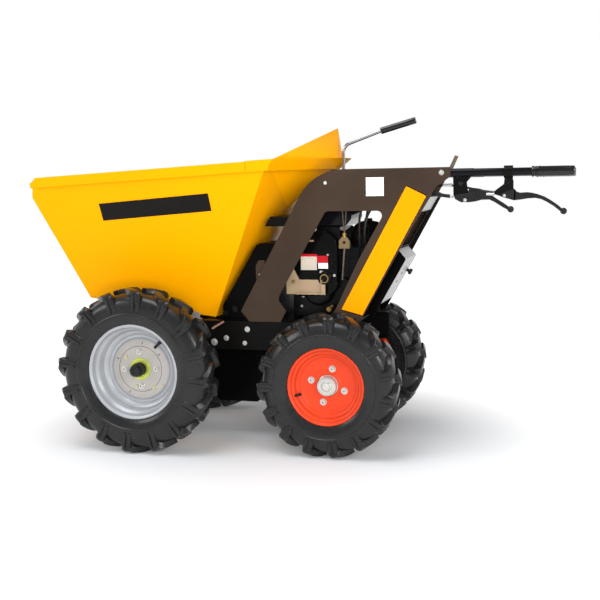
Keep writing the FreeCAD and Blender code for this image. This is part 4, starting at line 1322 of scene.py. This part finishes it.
    def fittings(self) -> None:
        """Build the brass fittings and the bolts of the engine's left side."""
        face = self.shroud_face
        brass = Form()
        brass.lathe([(0.0105, 0.0), (0.0125, 0.0), (0.0133, 0.002), (0.0125, 0.0035), (0.0105, 0.0035)],
                    sideways(self.boss[0], face + 0.009, self.boss[1]), 32, closed=True)
        brass.lathe([(0.0, 0.0), (0.0064, 0.0), (0.0064, 0.012), (0.0054, 0.013), (0.0, 0.013)],
                    Matrix.Translation((-0.118, self.link_y, 0.6212)), 20)
        brass.bolt(facing((-0.0685, 0.100, 0.407), (-0.2, 1, 0.25)), 0.0065, 0.009, 1.2)
        brass.bolt(facing((-0.0760, 0.100, 0.414), (-0.5, 1, 0.5)), 0.0035, 0.012, 1.2)
        brass.box((-0.032, self.block_face, 0.4305), (-0.006, 0.0790, 0.4335))
        _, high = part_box("control_plate")
        brass.bolt(sideways(0.0365, high[1], 0.489), 0.0038, 0.006, 1.4)
        brass.piece("brass_fittings", Body.CHASSIS, BRASS, Slot.ZINC)
        bolts = Form()
        bolts.bolts(self.shroud_bolts, face, 0.005, 1.3)
        bolts.bolts(self.block_bolts, self.block_face, 0.006, 1.3)
        bolts.piece("engine_bolts", Body.CHASSIS, ZINC, Slot.ZINC)

    def control_lip(self) -> None:
        """Build the control plate's turned lips and the clip of the spark lead."""
        low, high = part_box("control_plate")
        lip = Form()
        lip.box((low[0] - 0.0110, high[1] - 0.0040, low[2] + 0.0005),
                (low[0] + 0.0004, high[1] - 0.0020, low[2] + 0.031))
        lip.box((low[0] + 0.0005, high[1], low[2] + 0.0010),
                (high[0] - 0.030, high[1] + 0.0008, low[2] + 0.0050))
        lip.piece("control_plate_lip", Body.CHASSIS, TAN_ZINC, Slot.ZINC, bevel=0.0004)
        clip = Form()
        clip.tube([(-0.006, self.shroud_face + 0.002, 0.610), (-0.024, self.shroud_face + 0.002, 0.6105)],
                  0.0026, 12)
        clip.piece("spark_lead_clip", Body.CHASSIS, TAN_ZINC, Slot.ZINC)

    def castings(self) -> None:
        """Build the governor boss, the rounded crankcase cover, and the shroud's short fins and studs."""
        back = self.shroud_face - 0.001
        casting = Form()
        casting.lathe([(0.0, 0.0), (0.021, 0.0), (0.021, 0.007), (0.018, 0.009), (0.0105, 0.009),
                       (0.0100, 0.006), (0.0, 0.006)], sideways(self.boss[0], back, self.boss[1]), 36)
        low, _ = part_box("control_plate")
        depth = max(low[1] - 0.001 - self.cover[1], 0.012)
        rim = self.cover_radius
        casting.lathe([(0.0, 0.0), (rim, 0.0), (rim, depth - 0.012), (rim - 0.002, depth - 0.006),
                       (rim - 0.007, depth - 0.001), (rim - 0.012, depth), (0.0, depth)],
                      sideways(*self.cover), 48)
        for number in range(self.shroud_fins):
            z = 0.5765 + 0.0062 * number
            casting.box((-0.086 + 0.003 * number, back, z), (-0.028, self.shroud_face + 0.0035, z + 0.0022))
        for x, z, radius in self.studs:
            casting.lathe([(0.0, 0.0), (radius, 0.0), (radius, 0.008), (radius * 0.7, 0.010), (0.0, 0.010)],
                          sideways(x, back, z), 20)
        casting.piece("crankcase_cover", Body.CHASSIS, CASTING, Slot.CASTING, bevel=0.0007)

    def fins(self) -> None:
        """Build the cooling fins of the cylinder head, behind the shroud."""
        low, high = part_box("engine_head")
        form = Form()
        for number in range(self.head_fins):
            z = 0.520 + number * 0.0125
            form.box((-0.108, low[1] + 0.004, z), (0.036, high[1] - 0.0005, z + 0.0035))
        form.piece("engine_fins", Body.CHASSIS, CASTING, Slot.CASTING, bevel=0.0006)


# ---------------------------------------------------------------------------
# Handles and controls
# ---------------------------------------------------------------------------
@dataclass(frozen=True)
class Controls:
    """Handlebars, grips, levers and cables.

    Blades are given as (x, z), and turned profiles as (radius, height).
    """

    bar_y: float = 0.141
    bar_z: float = 0.802
    bar_end: float = -0.764
    grip_inset: float = 0.0185
    grip_end: tuple[Pair, ...] = (
        (0.0, 0.0), (0.0085, 0.0), (0.0122, 0.0012), (0.0138, 0.0045), (0.0140, 0.0110), (0.0134, 0.0118),
        (0.0134, 0.0132), (0.0141, 0.0140))
    grip_collar: tuple[Pair, ...] = (
        (0.0141, 0.1080), (0.0147, 0.1095), (0.0147, 0.1150), (0.0133, 0.1160), (0.0133, 0.1180),
        (0.0148, 0.1190), (0.0148, 0.1220), (0.0133, 0.1230), (0.0133, 0.1260), (0.0152, 0.1270),
        (0.0152, 0.1308), (0.0145, 0.1318), (0.0112, 0.132))
    gear_y: float = 0.100
    gear_sleeve: Point = (-0.101, 0.0, 0.0273)
    ball_radius: float = 0.009
    clutch_blade: tuple[Pair, ...] = (
        (-0.6054, 0.757), (-0.613, 0.7485), (-0.622, 0.745), (-0.642, 0.746), (-0.656, 0.7440),
        (-0.669, 0.7405), (-0.687, 0.734), (-0.703, 0.7245), (-0.720, 0.713), (-0.735, 0.700),
        (-0.731, 0.692), (-0.712, 0.7075), (-0.693, 0.7195), (-0.679, 0.7265), (-0.663, 0.730),
        (-0.644, 0.729), (-0.625, 0.726), (-0.6054, 0.724))
    clutch_root: tuple[Pair, ...] = (
        (-0.570, 0.735), (-0.572, 0.744), (-0.606, 0.757), (-0.612, 0.751), (-0.612, 0.727),
        (-0.606, 0.724), (-0.590, 0.729))
    drive_blade: tuple[Pair, ...] = (
        (-0.447, 0.731), (-0.447, 0.741), (-0.482, 0.745), (-0.485, 0.759), (-0.500, 0.7595),
        (-0.516, 0.7570), (-0.530, 0.7500), (-0.545, 0.7400), (-0.560, 0.7295), (-0.578, 0.718),
        (-0.595, 0.706), (-0.591, 0.698), (-0.579, 0.7045), (-0.567, 0.712), (-0.554, 0.7205),
        (-0.540, 0.727), (-0.519, 0.7265), (-0.502, 0.722), (-0.484, 0.720), (-0.462, 0.721))

    def build(self) -> None:
        """Build the controls."""
        for side in Side:
            bar = soften("handlebar_" + side.value, Body.CHASSIS, BLACK_GLOSS, Slot.BLACK, 0.0006)
            shorten(bar, self.bar_end)
            self.grip(side)
        for node in ("clutch_holder", "drive_holder"):
            soften(node, Body.CHASSIS, BLACK_COAT, Slot.BLACK, 0.0012)
        soften("throttle_lever", Body.CHASSIS, STEEL_ROD, Slot.BLACK, 0.0006)
        self.gear_lever()
        self.clutch_lever()
        self.drive_lever()
        self.lever_pins()
        self.cables()

    def grip(self, side: Side) -> None:
        """Build one ribbed grip.

        Args:
            side: The side of the machine.
        """
        low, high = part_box("grip_" + side.value)
        place = facing((low[0], (low[1] + high[1]) / 2.0, self.bar_z), (1, 0, 0))
        end = [(radius, self.grip_inset + height) for radius, height in self.grip_end]
        form = Form()
        form.lathe([*end, *self.grip_collar], place, 40)
        piece = form.piece("grip_%s_ribbed" % side.value, Body.CHASSIS, GRIP_GLOSS, Slot.GRIP)
        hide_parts("grip_" + side.value)

    def gear_lever(self) -> None:
        """Build the bent gear lever and its grip."""
        y = self.gear_y
        elbow, top = (-0.118, y, 0.886), (-0.229, y, 0.925)
        rod = Form()
        rod.tube(eased([(-0.118, y, 0.790), elbow, top], 0.022), 0.005, 16)
        piece = rod.piece("gear_lever_rod", Body.CHASSIS, CHROME, Slot.CHROME)
        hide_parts("gear_lever")
        heading = Vector(self.gear_sleeve)
        length = heading.length
        grip = Form()
        grip.lathe([(0.0, 0.0), (0.0085, 0.0), (0.0095, 0.001), (0.0095, length * 0.45),
                    (0.0092, length * 0.5), (0.0094, length - 0.003), (0.0078, length - 0.0004),
                    (0.0, length)], facing(top, heading), 28)
        piece = grip.piece("gear_lever_sleeve", Body.CHASSIS, GRIP_GLOSS, Slot.GRIP)
        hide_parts("gear_lever_grip")

    def ball(self, form: Form, centre: Point) -> None:
        """Add a lever's ball end.

        Args:
            form: The mesh to add to.
            centre: Place of the ball's middle.
        """
        turns = [math.radians(degrees) for degrees in range(0, 181, 15)]
        profile = [(self.ball_radius * math.sin(turn), -self.ball_radius * math.cos(turn)) for turn in turns]
        form.lathe(profile, Matrix.Translation(centre), 24)

    def clutch_lever(self) -> None:
        """Build the forged clutch lever, its thin root and its ball end."""
        lever = Form()
        middle = self.bar_y + 0.0071
        lever.slab(self.clutch_blade, middle, -0.004, 0.004)
        lever.slab(self.clutch_root, middle + 0.002, -0.002, 0.002)
        self.ball(lever, (-0.738, middle, 0.694))
        piece = lever.piece("clutch_lever_forged", Body.CHASSIS, FORGED, Slot.BLACK, bevel=0.0014)
        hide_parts("clutch_lever")

    def drive_lever(self) -> None:
        """Build the forged drive lever, its ball end and its pivot."""
        lever = Form()
        middle = self.bar_y + 0.008
        lever.slab(self.drive_blade, middle, -0.0035, 0.0035)
        self.ball(lever, (-0.598, middle, 0.700))
        lever.tube([(-0.475, self.bar_y + 0.002, 0.726), (-0.475, self.bar_y + 0.006, 0.726)], 0.004, 16)
        piece = lever.piece("drive_lever_forged", Body.CHASSIS, FORGED, Slot.BLACK, bevel=0.0014)
        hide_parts("drive_lever")

    def lever_pins(self) -> None:
        """Build the levers' pivots, the cable adjusters and the clamp's screw."""
        y = self.bar_y
        pins = Form()
        pins.bolt(sideways(-0.581, y + 0.0111, 0.7375), 0.0036, 0.0035, 1.2)
        pins.bolt(sideways(-0.4745, y + 0.0115, 0.7262), 0.0040, 0.0035, 1.2)
        pins.tube([(-0.5325, y + 0.008, 0.7415), (-0.5530, y + 0.0119, 0.7412)], 0.0042, 14)
        pins.tube([(-0.4325, y + 0.008, 0.7374), (-0.4405, y + 0.008, 0.7363)], 0.0038, 14)
        pins.tube([(-0.4110, y - 0.008, 0.7683), (-0.4370, y - 0.008, 0.7687)], 0.0040, 14)
        pins.piece("lever_pins", Body.CHASSIS, ZINC, Slot.ZINC)
        screw = Form()
        screw.bolt(sideways(-0.592, y + 0.010, 0.7725), 0.0022, 0.003, 1.2)
        screw.piece("clamp_screw", Body.CHASSIS, FORGED, Slot.BLACK)

    def cables(self) -> None:
        """Give the Bowden cables their sheath's finish, and build the drive cable's sleeve and the dark discs
        of painted shade that fill the bracket's holes.
        """
        for node in ("cable_clutch", "cable_drive"):
            dress(node, GRIP_RUBBER)
        y = self.bar_y
        sleeve_and_hole_shade = Form()
        sleeve_and_hole_shade.tube([(-0.3960, y + 0.0078, 0.7425), (-0.4180, y + 0.008, 0.7393),
                     (-0.4330, y + 0.008, 0.7373)], 0.0050, 16)
        # Dark rubber discs fill the bracket's two holes: painted shade for the dark seen through them.
        for x, z, radius in ((-0.461, 0.772, 0.0046), (-0.457, 0.740, 0.0026)):
            sleeve_and_hole_shade.lathe([(0.0, 0.0), (radius * 1.25, 0.0), (radius * 1.25, 0.0006), (radius, 0.0011),
                          (radius * 0.8, 0.0004), (0.0, 0.0004)], sideways(x, y + 0.0020, z), 24)
        sleeve_and_hole_shade.piece("cable_sleeve_and_hole_shade", Body.CHASSIS, GRIP_RUBBER, Slot.GRIP)


# ---------------------------------------------------------------------------
# Studio
# ---------------------------------------------------------------------------
@dataclass(frozen=True)
class Softbox:
    """A square soft light: where it hangs, what it faces, its side in metres and its power in watts."""

    name: str
    place: Point
    target: Point
    size: float
    power: float
    colour: Colour = (1.0, 1.0, 1.0)
    mirrored: bool = True

    def hang(self) -> None:
        """Hang the light."""
        data = bpy.data.lights.new(self.name, "AREA")
        data.shape = "SQUARE"
        data.size = self.size
        data.energy = self.power
        data.color = self.colour
        lamp = bpy.data.objects.new(self.name, data)
        lamp.matrix_world = facing(self.place, Vector(self.place) - Vector(self.target))
        lamp.visible_glossy = self.mirrored
        bpy.context.scene.collection.objects.link(lamp)


@dataclass(frozen=True)
class Studio:
    """Pale floor, soft lights and the camera."""

    focal_length: float = 58.67
    sensor_width: float = 36.0
    camera_place: Point = (-0.791, 2.888, 0.7755)
    yaw: float = 0.2832
    pitch: float = -0.1172
    roll: float = -0.0162
    floor_radius: float = 14.0
    fade_middle: Point = (0.15, 0.0, 0.0)
    fade_start: float = 0.45
    fade_end: float = 1.02
    fade_least: float = 0.02
    floor_glow: float = 1.15
    dim_surround: Colour = (0.37, 0.38, 0.40)
    dim_start: float = 0.30
    dim_end: float = 0.62
    front_dimming: float = 0.9
    lights: tuple[Softbox, ...] = (
        Softbox("overhead_softbox", (0.5, 0.8, 3.2), (0.1, 0.0, 0.4), 2.0, 68.0, (0.90, 0.95, 1.0)),
        Softbox("left_softbox", (2.8, 2.4, 1.9), (0.2, 0.0, 0.5), 1.2, 28.0),
        Softbox("right_softbox", (-2.6, 2.2, 1.6), (-0.2, 0.0, 0.4), 0.9, 32.0),
        Softbox("fill_softbox", (-1.2, 3.4, 0.8), (0.1, 0.0, 0.55), 1.6, 125.0, mirrored=False))

    def build(self) -> None:
        """Build the studio."""
        self.surround()
        bpy.context.scene.view_settings.view_transform = "Standard"
        self.floor()
        for light in self.lights:
            light.hang()
        self.camera()

    def camera(self) -> None:
        """Set the camera at its viewing angle."""
        across, ahead = math.sin(self.yaw), math.cos(self.yaw)
        forward = Vector((across * math.cos(self.pitch), -ahead * math.cos(self.pitch), math.sin(self.pitch)))
        level = Vector((-ahead, -across, 0.0))
        upright = level.cross(forward)
        right = level * math.cos(self.roll) + upright * math.sin(self.roll)
        top = upright * math.cos(self.roll) - level * math.sin(self.roll)
        data = bpy.data.cameras.new("studio_camera")
        data.sensor_width = self.sensor_width
        data.lens = self.focal_length
        camera = bpy.data.objects.new("studio_camera", data)
        matrix = Matrix((right, top, -forward)).transposed().to_4x4()
        matrix.translation = Vector(self.camera_place)
        camera.matrix_world = matrix
        bpy.context.scene.collection.objects.link(camera)
        bpy.context.scene.camera = camera

    def floor(self) -> None:
        """Lay the floor: a pale disc that brightens into the surround away from the machine."""
        form = bmesh.new()
        bmesh.ops.create_circle(form, cap_ends=True, cap_tris=False, segments=64, radius=self.floor_radius)
        data = bpy.data.meshes.new("studio_floor")
        form.to_mesh(data)
        form.free()
        floor = bpy.data.objects.new("studio_floor", data)
        bpy.context.scene.collection.objects.link(floor)
        material = STUDIO_FLOOR.material()
        data.materials.append(material)
        nodes = material.node_tree.nodes
        links = material.node_tree.links
        place = nodes.new("ShaderNodeTexCoord")
        length = nodes.new("ShaderNodeVectorMath")
        length.operation = "DISTANCE"
        length.inputs[1].default_value = self.fade_middle
        fade = nodes.new("ShaderNodeMapRange")
        fade.interpolation_type = "SMOOTHSTEP"
        fade.inputs["From Min"].default_value = self.fade_start
        fade.inputs["From Max"].default_value = self.fade_end
        fade.inputs["To Min"].default_value = self.fade_least
        glow = nodes.new("ShaderNodeEmission")
        glow.inputs["Strength"].default_value = self.floor_glow
        mix = nodes.new("ShaderNodeMixShader")
        links.new(place.outputs["Object"], length.inputs[0])
        links.new(length.outputs["Value"], fade.inputs["Value"])
        links.new(fade.outputs["Result"], mix.inputs["Fac"])
        links.new(nodes["Principled BSDF"].outputs["BSDF"], mix.inputs[1])
        links.new(glow.outputs["Emission"], mix.inputs[2])
        links.new(mix.outputs["Shader"], nodes["Material Output"].inputs["Surface"])

    def surround(self) -> None:
        """Set the surround: a white backdrop that lights the machine less from overhead and in front."""
        world = bpy.data.worlds.new("studio_world")
        world.use_nodes = True
        nodes = world.node_tree.nodes
        links = world.node_tree.links
        place = nodes.new("ShaderNodeTexCoord")
        axes = nodes.new("ShaderNodeSeparateXYZ")
        ramp = nodes.new("ShaderNodeValToRGB")
        ramp.color_ramp.elements[0].position = self.dim_start
        ramp.color_ramp.elements[0].color = (1.0, 1.0, 1.0, 1.0)
        ramp.color_ramp.elements[1].position = self.dim_end
        ramp.color_ramp.elements[1].color = (*self.dim_surround, 1.0)
        near = nodes.new("ShaderNodeMath")
        near.operation = "MULTIPLY"
        near.inputs[1].default_value = self.front_dimming
        most = nodes.new("ShaderNodeMath")
        most.operation = "MAXIMUM"
        links.new(place.outputs["Generated"], axes.inputs["Vector"])
        links.new(axes.outputs["Y"], near.inputs[0])
        links.new(near.outputs["Value"], most.inputs[0])
        links.new(axes.outputs["Z"], most.inputs[1])
        links.new(most.outputs["Value"], ramp.inputs["Fac"])
        links.new(ramp.outputs["Color"], nodes["Background"].inputs["Color"])
        backdrop = nodes.new("ShaderNodeBackground")
        backdrop.inputs["Color"].default_value = (1.0, 1.0, 1.0, 1.0)
        seen = nodes.new("ShaderNodeLightPath")
        mix = nodes.new("ShaderNodeMixShader")
        links.new(seen.outputs["Is Camera Ray"], mix.inputs["Fac"])
        links.new(nodes["Background"].outputs["Background"], mix.inputs[1])
        links.new(backdrop.outputs["Background"], mix.inputs[2])
        links.new(mix.outputs["Shader"], nodes["World Output"].inputs["Surface"])
        bpy.context.scene.world = world


def main() -> None:
    """Build the machine and its studio in order."""
    logging.basicConfig(level=logging.INFO, format="%(name)s: %(message)s")
    Studio().build()
    for end, style in ((End.FRONT, FRONT_STYLE), (End.REAR, REAR_STYLE)):
        for side in Side:
            Wheel(end, side, style).build()
    Tub().build()
    Chassis().build()
    Engine().build()
    Controls().build()


if __name__ == "__main__":
    main()
